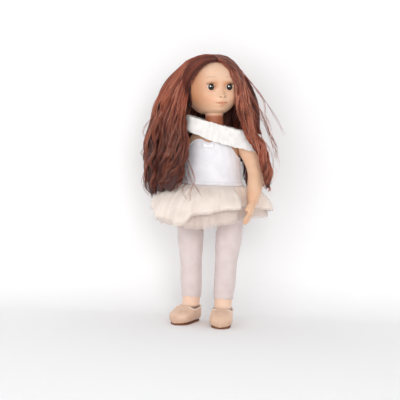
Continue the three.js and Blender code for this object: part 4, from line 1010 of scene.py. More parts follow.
lash_hair = Finish("lash_hair", tint(44, 27, 20), 0.5)
along_lash, _, _ = lash_hair.parts(lash_hair.unrolled(1.0, 1.0))
lash_hair.put("Base Color", lash_hair.mix(along_lash, tint(30, 18, 14), tint(66, 42, 30)))
for number, side in enumerate(SIDES):
    rng = np.random.default_rng(LASH_SEED + number)
    fan = np.linspace(-1.0, 1.0, LASHES) + rng.normal(0, 0.012, LASHES)
    around = fan * LASH_SPREAD
    edge_dir = np.array([0.0, -math.cos(LID_EDGE), math.sin(LID_EDGE)])
    root = (EYELID_R - 0.1) * (np.sin(around)[:, None] * [[1.0, 0, 0]] + np.cos(around)[:, None] * edge_dir)
    share = np.linspace(0, 1, 6)[None, :, None]
    length = LASH_LENGTH * (1 - 0.3 * np.abs(fan))[:, None, None] * rng.uniform(0.85, 1.1, (LASHES, 1, 1))
    lean = np.stack([0.55 * fan, -0.55 + 0 * fan, 0.15 + 0 * fan], 1)
    path = root[:, None, :] + length * share * (unit(root) * 0.55 + lean)[:, None, :]
    path = path + length * share**2 * np.array([0, 0, 0.55])
    radii = LASH_R * (1 - 0.85 * share[:, :, 0]) * np.ones((LASHES, 1))
    paths = moved(path.reshape(-1, 3), eye_frames[side]).reshape(path.shape)
    lashes = strands(f"lashes_{side}", paths, radii, rng.integers(0, SHADE_ROWS, LASHES))
    dress(lashes, lash_hair, [], "eyes")

# %% [markdown]
# ## Shoulder plate, arms and legs
# The plate is the bare part of the chest with the neck hole. An arm is one tube from its round top to the
# wrist, with a palm and five tapering digits. They are melted together by a voxel remesh, which gives the
# soft webs between fingers that cast vinyl has. The legs are made in the same way, with a lofted foot.

# %% Shape the shoulder plate
SEAM = 278.0
NECK_HOLE_R = 16.6
PLATE_WALL = 2.4


def plate_place(u, v):
    angle = 2 * np.pi * u
    height = SEAM + (NECK - SEAM) * np.minimum(v / 0.86, 1.0)
    points = torso_point(angle, height, 0.0)
    rim = smooth((v - 0.8) / 0.2)[:, None]
    hole = np.stack([NECK_HOLE_R * np.cos(angle), NECK_HOLE_R * np.sin(angle), height], 1)
    hole[:, 2] -= 3.0 * smooth((v - 0.9) / 0.1)
    return points * (1 - rim) + hole * rim


plate = shaped_grid("chest_skin", 120, 60, plate_place, closed=True)
thicken(plate, PLATE_WALL)
dress(plate, limb_vinyl, ["shoulder_plate"], "torso")

# %% Shape the arms
ARM_FACE = 44.5
ARM_SWING = {"left": 0.0, "right": math.radians(25.0)}
OUTWARDS = (1, 0, 0)


def round_top(radius, out):
    """Rows of the round head of a limb."""
    rows = []
    for degrees in (84, 55, 27, 0):
        girth = radius * math.cos(math.radians(degrees))
        rows.append((out, 0, radius * math.sin(math.radians(degrees)), girth, girth))
    return rows


# Rows of x, y, z and two half thicknesses, from the joint down
ARM = round_top(18.5, 15.0) + [
    (22, 0, -13, 18, 17), (27, 0, -27, 16, 15.8), (30.5, -1, -43, 14.2, 14.4),
    (31.5, -8, -60, 13.2, 13.6), (31.5, -16.5, -76, 11.4, 12.2), (31, -25, -89.5, 8.8, 9.6),
]
PALM = [
    (30.6, -24, -87.5, 7.6, 8.6), (30.2, -28, -95.5, 6.6, 10.2), (29.4, -32, -104.5, 5.6, 10.8),
    (28.6, -35, -110.5, 4.4, 9.4), (28.2, -36.2, -113.5, 2.0, 7.0),
]
FINGER_R = 2.75
FINGER_PITCH = 4.75
FINGER_LENGTHS = (15.5, 18.0, 17.0, 13.5)
FINGER_FAN, FINGER_LEAN = 0.07, 0.12
THUMB_R = 3.3
THUMB_LENGTH = 17.0
THUMB_FAN, THUMB_LEAN = 0.45, 0.35
# Share of a digit's length and of its radius
DIGIT_GIRTHS = [(-0.3, 0.9), (0.0, 1.0), (0.4, 1.0), (0.75, 0.9), (0.93, 0.66), (1.0, 0.25)]


def digit_rows(start, direction, curl, length, radius):
    rows = []
    for share, girth in DIGIT_GIRTHS:
        at = np.asarray(start) + direction * length * share + np.asarray(curl) * length * share**2
        rows.append((*at, radius * girth, radius * girth))
    return rows


wrist, knuckles = np.array(PALM[0][:3]), np.array(PALM[3][:3])
down = unit(knuckles - wrist)
forward = unit(np.cross(OUTWARDS, down))
hand_rows = []
for k, length in enumerate(FINGER_LENGTHS):
    spread = k - (len(FINGER_LENGTHS) - 1) / 2
    start = knuckles + forward * spread * FINGER_PITCH
    direction = unit(down + forward * FINGER_FAN * spread - FINGER_LEAN * np.array(OUTWARDS))
    hand_rows.append(digit_rows(start, direction, (-0.22, 0, 0), length, FINGER_R))
thumb_root = np.array(PALM[1][:3]) - forward * PALM[1][4] * 0.7
thumb_way = unit(down - THUMB_FAN * forward - THUMB_LEAN * np.array(OUTWARDS))
hand_rows.append(digit_rows(thumb_root, thumb_way, (0, 0.1, -0.1), THUMB_LENGTH, THUMB_R))

print("digits of a hand:", len(hand_rows))

# %% Join the arms
ARM_VOXEL = 0.9
SKIN_ROUNDS = 6

for side, sign in SIDES.items():
    shoulder_place = Matrix.Translation((sign * ARM_FACE, 0, SHOULDER))
    shoulder_frame = shoulder_place @ Matrix.Rotation(ARM_SWING[side], 4, "X")
    rolls = [(ARM, 64, 90), (PALM, 40, 30)] + [(rows, 24, 24) for rows in hand_rows]
    tubes = []
    for k, (rows, across, along) in enumerate(rolls):
        tube = sided(tube_place(rows, OUTWARDS), sign, shoulder_frame)
        tubes.append(shaped_grid(f"arm_skin_{side}_{k}", across, along, tube, capped=True))
    arm = join(f"arm_skin_{side}", tubes)
    fuse(arm, ARM_VOXEL, SKIN_ROUNDS)
    dress(arm, limb_vinyl, [f"arm_{side}"], f"arm_{side}")

# %% Shape the legs
LEG_FACE = 14.4
ANKLE_OUT = 13.5
FOOT_SPLAY = {"left": math.radians(8.0), "right": math.radians(17.0)}
FOOT_BASE = 5.5
THIGH_END = -40
LEG = round_top(24.0, 20.0) + [
    (19.5, 0, -26, 21.8, 22.6), (18, -0.5, -60, 20.4, 21), (16, -1, -92, 17.4, 18), (15, 1, -124, 17.2, 18.6),
    (13.5, 1, -144, 16, 16.4), (13.5, 0, -156, 15, 15.4), (13.5, 0, -172, 14, 14.6),
]
# Along the foot from the toe, half width and height
FOOT = [
    (-50, 5, 9), (-47, 10.4, 12), (-40, 15.4, 15), (-28, 17.2, 19.5), (-14, 16, 27), (-2, 14.8, 33),
    (9, 13.6, 29), (16.5, 10, 19), (19, 5, 11),
]
FOOT_TOE, FOOT_HEEL = FOOT[0][0], FOOT[-1][0]
foot_frames = {
    side: Matrix.Translation((ANKLE_OUT, 0, -HIP)) @ Matrix.Rotation(splay, 4, "Z")
    for side, splay in FOOT_SPLAY.items()
}


def foot_place(grow, side):
    """The surface of a foot with a flat underside, from heel to toe, in the frame of the left leg."""

    def place(u, v):
        swing = np.pi * v
        middle, reach = (FOOT_HEEL + FOOT_TOE) / 2, (FOOT_HEEL - FOOT_TOE) / 2 + grow
        along = middle + reach * np.cos(swing)
        inside = np.clip(along, FOOT_TOE, FOOT_HEEL)
        ends = np.sqrt(np.clip(1 - (np.abs(along - middle) / reach) ** 8, 0, 1))
        half = (smooth_at(FOOT, inside, 1) + grow) * ends
        high = (smooth_at(FOOT, inside, 2) + 2 * grow) * (0.35 + 0.65 * ends)
        angle = 2 * np.pi * u
        wide, rise = np.cos(angle), np.sin(angle)
        flat = np.where(rise < 0, -np.minimum(1, 1.1 * np.sqrt(np.abs(rise))), rise)
        across = half * np.sign(wide) * np.abs(wide) ** 0.7
        points = np.stack([across, along, FOOT_BASE - grow + high / 2 * (1 + flat)], 1)
        return moved(points, foot_frames[side])

    return place


def leg_side(place, sign):
    return sided(place, sign, Matrix.Translation((sign * LEG_FACE, 0, HIP)), THIGH_END)


print("foot from toe to heel, mm:", FOOT_HEEL - FOOT_TOE)

# %% Join the legs
LEG_VOXEL = 1.5

for side, sign in SIDES.items():
    shank = shaped_grid(f"shank_{side}", 64, 110, leg_side(tube_place(LEG, OUTWARDS), sign), capped=True)
    foot = shaped_grid(f"foot_{side}", 64, 60, leg_side(foot_place(0.0, side), sign), capped=True)
    leg = join(f"leg_skin_{side}", [shank, foot])
    fuse(leg, LEG_VOXEL, SKIN_ROUNDS)
    dress(leg, limb_vinyl, [f"leg_{side}"], f"leg_{side}")

# %% [markdown]
# ## Stuffed torso
# Under the clothes the body is a cloth bag packed with fibre. Nothing of it shows when the doll is
# dressed. It stands for both the bag and the filling, as one soft swollen form with the lumps that
# stuffing makes.

# %% Stuff the torso
body_cloth = Finish("body_cloth", tint(219, 178, 142), 0.9)
weave_x, weave_y, weave_z = body_cloth.parts(body_cloth.millimetres())
threads = body_cloth.sine(weave_z * 9.0) * body_cloth.sine((weave_x + weave_y) * 9.0)
slubs = body_cloth.noise(body_cloth.millimetres(), 9.0, 3.0)
body_cloth.put("Base Color", body_cloth.mix(slubs, tint(224, 184, 150), tint(206, 160, 124)))
body_cloth.emboss(threads, 0.12, 0.6)
PELVIS_HALF = 13.6
HIP_ROOM = 221.0
LUMP_DEPTH, LUMP_SIZE, LUMP_REACH = 0.5, 26.0, 45.0


def pelvis(points, half):
    """Leave room beside the pelvis for the thighs."""
    low = smooth((HIP_ROOM + 6 - points[:, 2]) / 9.0)
    pressed = np.clip(points[:, 0], -half, half)
    points[:, 0] = points[:, 0] * (1 - low) + pressed * low
    return points


def torso_bag_place(u, v):
    angle = 2 * np.pi * u
    height = CROTCH + 1 + (SEAM + 10 - CROTCH - 1) * v
    points = torso_point(angle, height, -0.8 - 4.5 * smooth((height - SEAM + 6) / 8))
    lumps = LUMP_DEPTH * ripple(points, LUMP_SIZE, 5)
    points[:, :2] += (points - TORSO_MIDDLE)[:, :2] / LUMP_REACH * lumps[:, None]
    return pelvis(points, PELVIS_HALF)


torso_bag = shaped_grid("torso_bag", 96, 90, torso_bag_place, capped=True)
dress(torso_bag, body_cloth, ["torso_cloth", "torso_filling"], "torso")

# %% [markdown]
# ## Tights
# Thin pale pink stretch knit without feet. It clings to the leg, ends in a raw, slightly wavy edge above
# the ankle, and has a sewn seam down the inside. The knit is drawn on the flat map of the tube.

# %% Pull on the tights
TIGHTS_HEM = 43.0
TIGHTS_OUT = 0.95
TIGHTS_WALL = 0.55
TIGHTS_AROUND, TIGHTS_LENGTH = 110.0, 210.0
SHIN_MIDDLE = (15.0, 0, 0)


def knit(name, light, shade, across, along):
    """Fine stretch knit: rows of small stitches, with soft clouds of shade."""
    finish = Finish(name, light, 0.72, sheen_weight=0.25, sheen_roughness=0.4)
    flat = finish.unrolled(across, along)
    x, y, _ = finish.parts(flat)
    stitches = finish.sine(x * 6.0) * finish.sine(y * 5.0 + finish.sine(x * 3.0))
    clouds = finish.ramp(finish.noise(finish.millimetres(), 16.0, 2.0), 0.35, 0.7)
    finish.put("Base Color", finish.mix(0.6 * clouds, light, shade))
    finish.put("Roughness", 0.66 + 0.12 * finish.noise(flat, 2.0, 2.0))
    finish.emboss(stitches, 0.06, 0.5)
    return finish


tights_knit = knit("tights_knit", tint(223, 208, 205), tint(214, 196, 193), TIGHTS_AROUND, TIGHTS_LENGTH)
probe = np.linspace(0, 1, 2001)
hem_share = float(probe[np.argmin(np.abs(spline(LEG, probe)[:, 2] - (TIGHTS_HEM - HIP)))])
leg_tube = tube_place(LEG, OUTWARDS, grow=TIGHTS_OUT, begin=0.06, end=hem_share)


def tights_place(u, v):
    points = leg_tube(u, v)
    angle = 2 * np.pi * u
    low = smooth((v - 0.9) / 0.1)
    points[:, 2] += low * (0.9 * np.sin(9 * angle + 1) + 0.6 * np.sin(17 * angle))
    wrinkle = 0.16 * ripple(points * [0.4, 0.4, 1.6], 14.0, 9) + 0.25 * low
    seam = 0.35 * np.exp(-(((u - 0.5) * TIGHTS_AROUND) ** 2) / 1.2)
    return points + outward(points, SHIN_MIDDLE) * (wrinkle + seam)[:, None]


for side, sign in SIDES.items():
    tights = shaped_grid(f"tights_{side}", 96, 110, leg_side(tights_place, sign), closed=True)
    thicken(tights, TIGHTS_WALL)
    dress(tights, tights_knit, [f"tights_leg_{side}"], f"leg_{side}")

# %% Pull up the waist of the tights
TIGHTS_TOP = 254.0
TIGHTS_LOW = HIP_ROOM - 7


def waist_place(u, v):
    angle = 2 * np.pi * u
    height = TIGHTS_LOW + (TIGHTS_TOP - TIGHTS_LOW) * v
    return pelvis(torso_point(angle, height, 0.9), PELVIS_HALF + 0.2)


tights_waist = shaped_grid("tights_top", 96, 30, waist_place, closed=True)
thicken(tights_waist, 0.5)
dress(tights_waist, tights_knit, ["tights_waist"], "torso")

# %% [markdown]
# ## Slippers
# Soft satin ballet slippers with a drawn edge. The upper is a foot shape a little larger than the foot,
# hollowed by a second one and cut open along the top line. A roll of binding follows the opening. The
# sole is a thin suede plate with a rounded edge.

# %% Choose the cloth of the slippers
satin = Finish("slipper_satin", tint(224, 186, 160), 0.38, sheen_weight=0.3, sheen_roughness=0.35)
satin_flat = satin.millimetres()
_, _, satin_z = satin.parts(satin_flat)
grain = satin.noise(satin.stretched(satin_flat, (1.0, 0.3, 1.0)), 1.1, 3.0)
wear = satin.ramp(satin.noise(satin_flat, 11.0, 3.0), 0.45, 0.75)
low_edge = 1 - satin.ramp(satin_z, 4.0, 20.0)
satin_colour = satin.mix(0.6 * wear, tint(228, 193, 168), tint(212, 173, 148))
satin.put("Base Color", satin.mix(0.5 * low_edge, satin_colour, tint(188, 144, 116)))
satin.put("Roughness", 0.26 + 0.16 * grain)
satin.emboss(grain, 0.08, 0.5)

binding_tints = (tint(248, 230, 216), tint(238, 212, 192))
binding_cloth = grained("slipper_binding", binding_tints, 0.5, 0.9, relief=(0.1, 0.5))

suede = Finish("sole_suede", tint(120, 74, 48), 0.95)
nap = suede.noise(suede.millimetres(), 1.4, 4.0)
scuff = suede.ramp(suede.noise(suede.millimetres(), 12.0, 3.0), 0.5, 0.8)
suede_colour = suede.mix(nap, tint(104, 60, 38), tint(136, 86, 56))
suede.put("Base Color", suede.mix(scuff, suede_colour, tint(150, 104, 74)))
suede.emboss(nap, 0.2, 0.6)

print("cloth of the slippers:", satin.material.name, binding_cloth.material.name, suede.material.name)

# %% Draw the top edge of a slipper
SHOE_WALL = 1.7
SHOE_GROW = 2.1
SHOE_THROAT = -24.0
SHOE_TOP_SIDE = 23.0
SHOE_TOP_HEEL = 27.0
SHOE_BACK = 45.0


def top_line(along):
    """Height of the slipper's top edge above the floor at a place along the foot."""
    places = [*(SHOE_THROAT + np.array([-6, 0, 3, 9, 22])), FOOT_HEEL, SHOE_BACK]
    heights = [66, 28, 25, SHOE_TOP_SIDE, SHOE_TOP_SIDE + 0.8, SHOE_TOP_HEEL, SHOE_TOP_HEEL]
    return np.interp(along, places, heights)


def opening_place(side):
    """A tall block whose underside is the top line."""

    def place(u, v):
        along = SHOE_THROAT - 5 + (SHOE_BACK - SHOE_THROAT + 5) * v
        corner = np.round(u * 4).astype(int) % 4
        across = np.choose(corner, [-45.0, 45.0, 45.0, -45.0])
        height = np.where(corner < 2, top_line(along), 80.0)
        return moved(np.stack([across, along, height], 1), foot_frames[side])

    return place


def binding_route(side, sign):
    """Points along the edge of the slipper's opening."""
    place = foot_place(SHOE_GROW - 0.5, side)
    ends = np.linspace(0.0, 1.0, 241)
    around = np.linspace(0.0, 0.5, 181)
    u, v = np.meshgrid(around, ends)
    points = place(u.ravel(), v.ravel())
    local = moved(points, foot_frames[side].inverted()).reshape(len(ends), len(around), 3)
    route = []
    for flank_sign in (1, -1):
        row = []
        for line in local[::-1]:
            along = line[:, 1].mean()
            if along < SHOE_THROAT or along > FOOT_HEEL + 1.2:
                continue
            wanted = top_line(along)
            flank = line[line[:, 0] * flank_sign >= 0]
            if flank[:, 2].max() < wanted:
                continue
            row.append(flank[np.argmin(np.abs(flank[:, 2] - wanted))])
        route.append(row)
    loop = np.array(route[0] + route[1][::-1])
    closed = np.vstack([loop[-3:], loop, loop[:3]])
    kernel = np.ones(5) / 5
    soft = np.stack([np.convolve(closed[:, k], kernel, "same") for k in range(3)], 1)[3:-3]
    points = moved(soft, foot_frames[side]) * [sign, 1, 1]
    return points + [sign * LEG_FACE, 0, HIP]


print("top edge at the throat, mm:", float(top_line(SHOE_THROAT)))


# %% Roll a binding
def roll_along(name, route, radius):
    """A round roll of cloth along a closed route in millimetres."""
    bpy.ops.curve.primitive_bezier_curve_add()
    piece = bpy.context.object
    piece.name = name
    piece.data.splines.clear()
    line = piece.data.splines.new("POLY")
    line.points.add(len(route) - 1)
    line.points.foreach_set("co", np.hstack([np.asarray(route) * MM, np.ones((len(route), 1))]).ravel())
    line.use_cyclic_u = True
    piece.data.dimensions = "3D"
    piece.data.bevel_depth = radius * MM
    piece.data.bevel_resolution = 3
    pick(piece)
    bpy.ops.object.convert(target="MESH")
    bpy.ops.object.shade_smooth()
    return bpy.context.object


BINDING_R = 1.5
print("thickness of the binding, mm:", 2 * BINDING_R)

# %% Cut a sole
SOLE = 3.0
SOLE_INSET = 1.2
SOLE_BEVEL = 0.7
SMOOTH_SOLE = math.radians(40)


def sole_plate(name, side, sign):
    """A thin plate cut to the outline of the foot, with a rounded edge."""
    bpy.ops.mesh.primitive_circle_add(vertices=120, radius=1.0, fill_type="NGON")
    piece = bpy.context.object
    piece.name = name
    turn = np.arctan2(coordinates(piece)[:, 0], coordinates(piece)[:, 1])
    middle, reach = (FOOT_HEEL + FOOT_TOE) / 2, (FOOT_HEEL - FOOT_TOE) / 2
    along = middle + reach * np.cos(turn)
    ends = np.sqrt(np.clip(1 - np.abs(np.cos(turn)) ** 8, 0, 1))
    across = np.sign(np.sin(turn)) * (smooth_at(FOOT, along, 1) - SOLE_INSET) * ends
    outline = np.stack([across, along, 0 * along], 1)
    lay(piece, (moved(outline, foot_frames[side]) * [sign, 1, 1] + [sign * LEG_FACE, 0, HIP]) * MM)
    bpy.ops.object.mode_set(mode="EDIT")
    bpy.ops.mesh.select_all(action="SELECT")
    bpy.ops.mesh.extrude_region_move(TRANSFORM_OT_translate={"value": (0, 0, SOLE * MM)})
    bpy.ops.mesh.select_all(action="SELECT")
    bpy.ops.mesh.normals_make_consistent(inside=False)
    bpy.ops.object.mode_set(mode="OBJECT")
    modify(piece, "BEVEL", width=SOLE_BEVEL * MM, segments=3, limit_method="ANGLE")
    pick(piece)
    bpy.ops.object.shade_smooth_by_angle(angle=SMOOTH_SOLE)
    return piece


print("thickness of a sole, mm:", SOLE)

# %% Sew the slippers
SMOOTH_UPPER = math.radians(50)

for side, sign in SIDES.items():
    outside = leg_side(foot_place(SHOE_GROW, side), sign)
    inside = leg_side(foot_place(SHOE_GROW - SHOE_WALL, side), sign)
    slipper = shaped_grid(f"slipper_upper_{side}", 120, 110, outside, capped=True)
    hollow = shaped_grid("hollow", 80, 80, inside, capped=True)
    cut(slipper, hollow)
    opening = shaped_grid("opening", 5, 60, leg_side(opening_place(side), sign), capped=True)
    cut(slipper, opening)
    pick(slipper)
    bpy.ops.object.shade_smooth_by_angle(angle=SMOOTH_UPPER)
    dress(slipper, satin, [f"slipper_{side}"], f"leg_{side}")
    binding = roll_along(f"slipper_binding_{side}", binding_route(side, sign), BINDING_R)
    dress(binding, binding_cloth, [], f"leg_{side}")
    plate_sole = sole_plate(f"suede_sole_{side}", side, sign)
    dress(plate_sole, suede, [f"slipper_sole_{side}"], f"leg_{side}")

# %% [markdown]
# ## Leotard
# White stretch cloth that fits the torso, with a sweetheart neckline in front, a lower straight edge
# behind and a narrow strip between the legs. It is one grid whose upper edge follows the neckline, and a
# second strip. A rolled hem finishes the neckline. In the notch sits a little gathered bow, and a closing
# strip runs down the back.

# %% Sew the leotard
LEOTARD_OUT = 2.3
LEOTARD_WALL = 0.8
HEM_ROLL_R = 0.75
# Degrees from the front and height of the upper edge
NECKLINE = [
    (0, 303.6), (8, 305.6), (16, 308.4), (24, 309.2), (34, 307.6), (46, 301.0), (58, 292.0), (70, 284.0),
    (82, 280.4), (98, 280.0), (112, 283.0), (126, 288.0), (140, 291.4), (180, 292.0),
]
white_knit = knit("leotard_knit", tint(238, 236, 240), tint(226, 224, 230), 290.0, 90.0)


def neckline(angle):
    """Height of the leotard's upper edge at an angle round the body."""
    from_front = np.degrees(np.abs(np.arctan2(np.cos(angle), -np.sin(angle))))
    return smooth_at(NECKLINE, from_front, 1)


def leotard_place(u, v):
    angle = 2 * np.pi * u - 0.5 * np.pi
    low = HIP_ROOM + 1.0
    height = low + (neckline(angle) - low) * v
    points = torso_point(angle, height, LEOTARD_OUT)
    folds = 0.22 * ripple(points * [1.3, 1.3, 0.5], 15.0, 21)
    gather = np.exp(-((points[:, 0] / 11.0) ** 2)) * smooth((points[:, 2] - 286) / 14) * (points[:, 1] < 0)
    folds += 0.55 * gather * np.sin(points[:, 0] * 2.1) + 0.3 * smooth((0.1 - v) / 0.1)
    return points + outward(points, TORSO_MIDDLE) * folds[:, None]


STRIP_HEIGHTS = (226, 212, 198, 185, 177)
STRIP_HALF = 12.6


def strip_place(u, v):
    """The strip between the legs, from front to back."""
    depths = [smooth_at(TORSO, height - HIP, 2) + LEOTARD_OUT for height in STRIP_HEIGHTS]
    before = [(TORSO_BACK - deep, height) for deep, height in zip(depths, STRIP_HEIGHTS)]
    behind = [(TORSO_BACK + deep, height) for deep, height in zip(depths, STRIP_HEIGHTS)]
    row = spline([*before, (-6, 171.6), (TORSO_BACK, 170.4), (8, 171.6), *reversed(behind)], v)
    across = (u - 0.5) * 2 * STRIP_HALF
    bow = 0.02 * across**2
    back = np.where(row[:, 0] > TORSO_BACK, -1, 1) * smooth((row[:, 1] - 172) / 12)
    return np.stack([across, row[:, 0] + back * bow, row[:, 1]], 1)


leotard_body = shaped_grid("leotard_body", 170, 76, leotard_place, closed=True)
leotard_strip = shaped_grid("leotard_strip", 24, 90, strip_place)
close_up(leotard_strip, False)
thicken(leotard_body, LEOTARD_WALL)
thicken(leotard_strip, LEOTARD_WALL)
hem_angle = np.linspace(0, 2 * np.pi, 241)[:-1]
hem_route = torso_point(hem_angle, neckline(hem_angle) - 0.3, LEOTARD_OUT - 0.2)
hem = roll_along("leotard_hem", hem_route, HEM_ROLL_R)
leotard = join("leotard_cloth", [leotard_body, leotard_strip, hem])
dress(leotard, white_knit, ["leotard"], "torso")


# %% Close the back
FASTENER_LOW, FASTENER_LENGTH = 245, 46
FASTENER_ANGLE = 0.27
FASTENER_OUT = 1.3
FASTENER_WALL = 0.9


def fastener_place(u, v):
    angle = 0.5 * np.pi + (u - 0.5) * FASTENER_ANGLE
    height = FASTENER_LOW + FASTENER_LENGTH * v
    return torso_point(angle, height, LEOTARD_OUT + FASTENER_OUT - 0.5 * (2 * u - 1) ** 8)


fastener = shaped_grid("closing_strip", 16, 60, fastener_place)
close_up(fastener, False)
thicken(fastener, FASTENER_WALL)
fastener_cloth = knit("fastener_cloth", tint(240, 239, 243), tint(220, 219, 226), 12.0, FASTENER_LENGTH)
dress(fastener, fastener_cloth, ["back_fastener"], "torso")

# %% Tie the bow
RIBBON_WALL = 0.35
BOW_HEIGHT = 298.5
BOW_FRONT = TORSO_BACK - float(smooth_at(TORSO, BOW_HEIGHT - HIP, 2)) - LEOTARD_OUT - 1.6


def bow_loop(sign):
    """A flat loop of ribbon, pinched at the knot."""

    def place(u, v):
        angle = 2 * np.pi * u
        reach = 4.6 + 4.4 * np.cos(angle)
        width = (v - 0.5) * (3.0 + 0.55 * reach)
        puff = 1.5 * np.sin(angle) * np.sqrt(np.clip(reach / 9, 0, 1))
        crease = 0.25 * np.sin(v * 11) * (1 - reach / 9)
        points = np.stack([sign * reach, -0.7 + puff + crease, width + 0.1 * reach], 1)
        return points + [0, BOW_FRONT, BOW_HEIGHT]

    return place


def bow_tail(sign):
    """A short end of ribbon that hangs from the knot."""

    def place(u, v):
        across = (u - 0.5) * (2.6 + 1.6 * v)
        reach = 1.0 + 6.2 * v
        return np.stack([
            sign * (reach * 0.62) + across * 0.8,
            BOW_FRONT + 0.3 + 0.35 * np.sin(5 * v + sign),
            BOW_HEIGHT - reach + sign * across * 0.5,
        ], 1)

    return place


def bow_knot(u, v):
    swing = np.pi * v
    angle = 2 * np.pi * u
    ring = np.sin(swing)
    return np.stack([
        1.7 * ring * np.cos(angle),
        BOW_FRONT - 0.5 + 1.5 * ring * np.sin(angle),
        BOW_HEIGHT + 2.3 * np.cos(swing),
    ], 1)


bow_parts = [shaped_grid("bow_knot", 20, 16, bow_knot, capped=True)]
for sign in (-1, 1):
    loop = shaped_grid("bow_loop", 40, 10, bow_loop(sign), closed=True)
    tail = shaped_grid("bow_tail", 8, 16, bow_tail(sign))
    close_up(tail, False)
    for ribbon in (loop, tail):
        thicken(ribbon, RIBBON_WALL)
        bow_parts.append(ribbon)
neckline_bow = join("ribbon_bow", bow_parts)
ribbon_cloth = knit("bow_ribbon", tint(246, 245, 248), tint(226, 225, 232), 20.0, 6.0)
dress(neckline_bow, ribbon_cloth, ["neckline_bow"], "torso")

# %% [markdown]
# ## Net skirt
# Two layers of gathered net hang from a band at the waist. The band is a small ruched roll. Each layer
# follows the solids' broad folds and adds finer pleats that start at the band and open towards the raw
# hem. The layers are made in a left and a right half.

# %% Weave the net
NET_FLAT = (0.30, 0.066)
NET_CLEAR = 0.16
THREADS_PER_MM = 4.2


def net_cloth(name, light, shade):
    """Soft net: a fine mesh of threads that lets some of what lies behind show through."""
    finish = Finish(name, light, 0.85, sheen_weight=0.35, sheen_roughness=0.5)
    flat = finish.unrolled(NET_FLAT[0] * 1000, NET_FLAT[1] * 1000)
    x, y, _ = finish.parts(flat)
    threads = finish.sine((x + y) * THREADS_PER_MM) * finish.sine((x - y) * THREADS_PER_MM)
    holes = finish.ramp(threads, 0.1, 0.8)
    cloud = finish.ramp(finish.noise(finish.millimetres(), 22.0, 2.0), 0.35, 0.75)
    soft_edge = finish.ramp(y, 60.0, 66.0)
    finish.put("Base Color", finish.mix(0.5 * cloud, light, shade))
    finish.put("Alpha", 1 - NET_CLEAR * holes - 0.06 * cloud - 0.4 * soft_edge)
    finish.emboss(threads, 0.08, 0.4)
    return finish


outer_net = net_cloth("outer_net", tint(240, 226, 215), tint(233, 216, 204))
inner_net = net_cloth("inner_net", tint(216, 199, 189), tint(206, 186, 176))
print("nets:", outer_net.material.name, inner_net.material.name)

# %% Hang the layers of net
# Degrees round the body, from the doll's left, and height of the hem
OUTER_HEM = [
    (-180, 190), (-166, 190), (-150, 181), (-135, 175), (-120, 171), (-107, 169), (-97, 185), (-80, 190),
    (-60, 197), (-40, 199), (-15, 198), (20, 191), (60, 181), (100, 175), (140, 178), (170, 188), (180, 190),
]
INNER_HEM = [
    (-180, 172), (-150, 169), (-120, 166), (-95, 164), (-80, 166), (-60, 173), (-40, 178), (0, 182),
    (25, 186), (60, 178), (120, 166), (150, 168), (180, 172),
]
OUTER_LAYER = {"flare": 50.0, "drop": 46.0, "top": 233.3, "hem": OUTER_HEM}
INNER_LAYER = {"flare": 40.0, "drop": 56.0, "top": 229.5, "hem": INNER_HEM}
FLARE_SHARE = 0.92
HEM_TURN = FLARE_SHARE * 0.5 * math.pi
HEM_SAG = 0.1
SKIRT_FOLDS = 12
FOLD_DEPTH = 3.0
SKIRT_START = 3.2
DENT_HALF = math.radians(18.0)
DENT_SHARE = 0.8
ARM_ANGLES = (math.atan2(-29.0, 74.7), math.atan2(14.0, -74.7))


def dent(angle):
    """Share of the skirt's flare that is left beside the arms."""
    near = np.zeros(len(angle))
    for at in ARM_ANGLES:
        away = np.arctan2(np.sin(angle - at), np.cos(angle - at))
        near = np.maximum(near, np.exp(-((away / DENT_HALF) ** 4)))
    return 1 - DENT_SHARE * near


def skirt_place(layer, begin, end, seed):
    """A layer of net between two angles: it flares from the band, sags, and is pleated and folded."""
    rng = np.random.default_rng(seed)
    phases = rng.uniform(0, 2 * np.pi, 4)

    def place(u, v):
        angle = begin + (end - begin) * u
        turn = v * 0.5 * np.pi
        press = dent(angle)
        level = layer["top"] - layer["drop"] * (1 - math.cos(HEM_TURN) + HEM_SAG)
        round_angle = np.degrees(np.arctan2(np.sin(angle), np.cos(angle)))
        lift = smooth_at(layer["hem"], round_angle, 1) - level
        pleats = 0.7 * np.sin(31 * angle + phases[0]) + 0.4 * np.sin(53 * angle + phases[1] + 2 * v)
        fold = FOLD_DEPTH * v**2 * np.sin(SKIRT_FOLDS * angle) + pleats * (0.6 + 0.2 * v)
        spread = layer["flare"] * press * np.sin(turn) + fold * press
        height = layer["top"] - layer["drop"] * (1 - np.cos(FLARE_SHARE * turn) + HEM_SAG * v) + lift * v**1.5
        height += 0.4 * np.sin(29 * angle + phases[2]) * v**3 + 0.3 * np.sin(83 * angle + phases[3]) * v**6
        height += 0.5 * pleats * (1 - v) * np.clip(v * 8, 0, 1)
        reach = torso_reach(angle, layer["top"], SKIRT_START) + spread
        return np.stack([reach * np.cos(angle), TORSO_BACK + reach * np.sin(angle), height + 0.45], 1)

    return place


HALVES = {"left": (-0.5 * np.pi, 0.5 * np.pi), "right": (0.5 * np.pi, 1.5 * np.pi)}
LAYERS = (("skirt_outer", OUTER_LAYER, outer_net, 60), ("skirt_inner", INNER_LAYER, inner_net, 70))
for name, layer, net, seed in LAYERS:
    for side, (begin, end) in HALVES.items():
        half_layer = shaped_grid(f"{name}_{side}", 260, 60, skirt_place(layer, begin, end, seed))
        close_up(half_layer, False)
        dress(half_layer, net, [f"{name}_layer"], "torso")
        anchor = (0, 0, (layer["top"] + 1) * MM)
        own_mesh(half_layer)


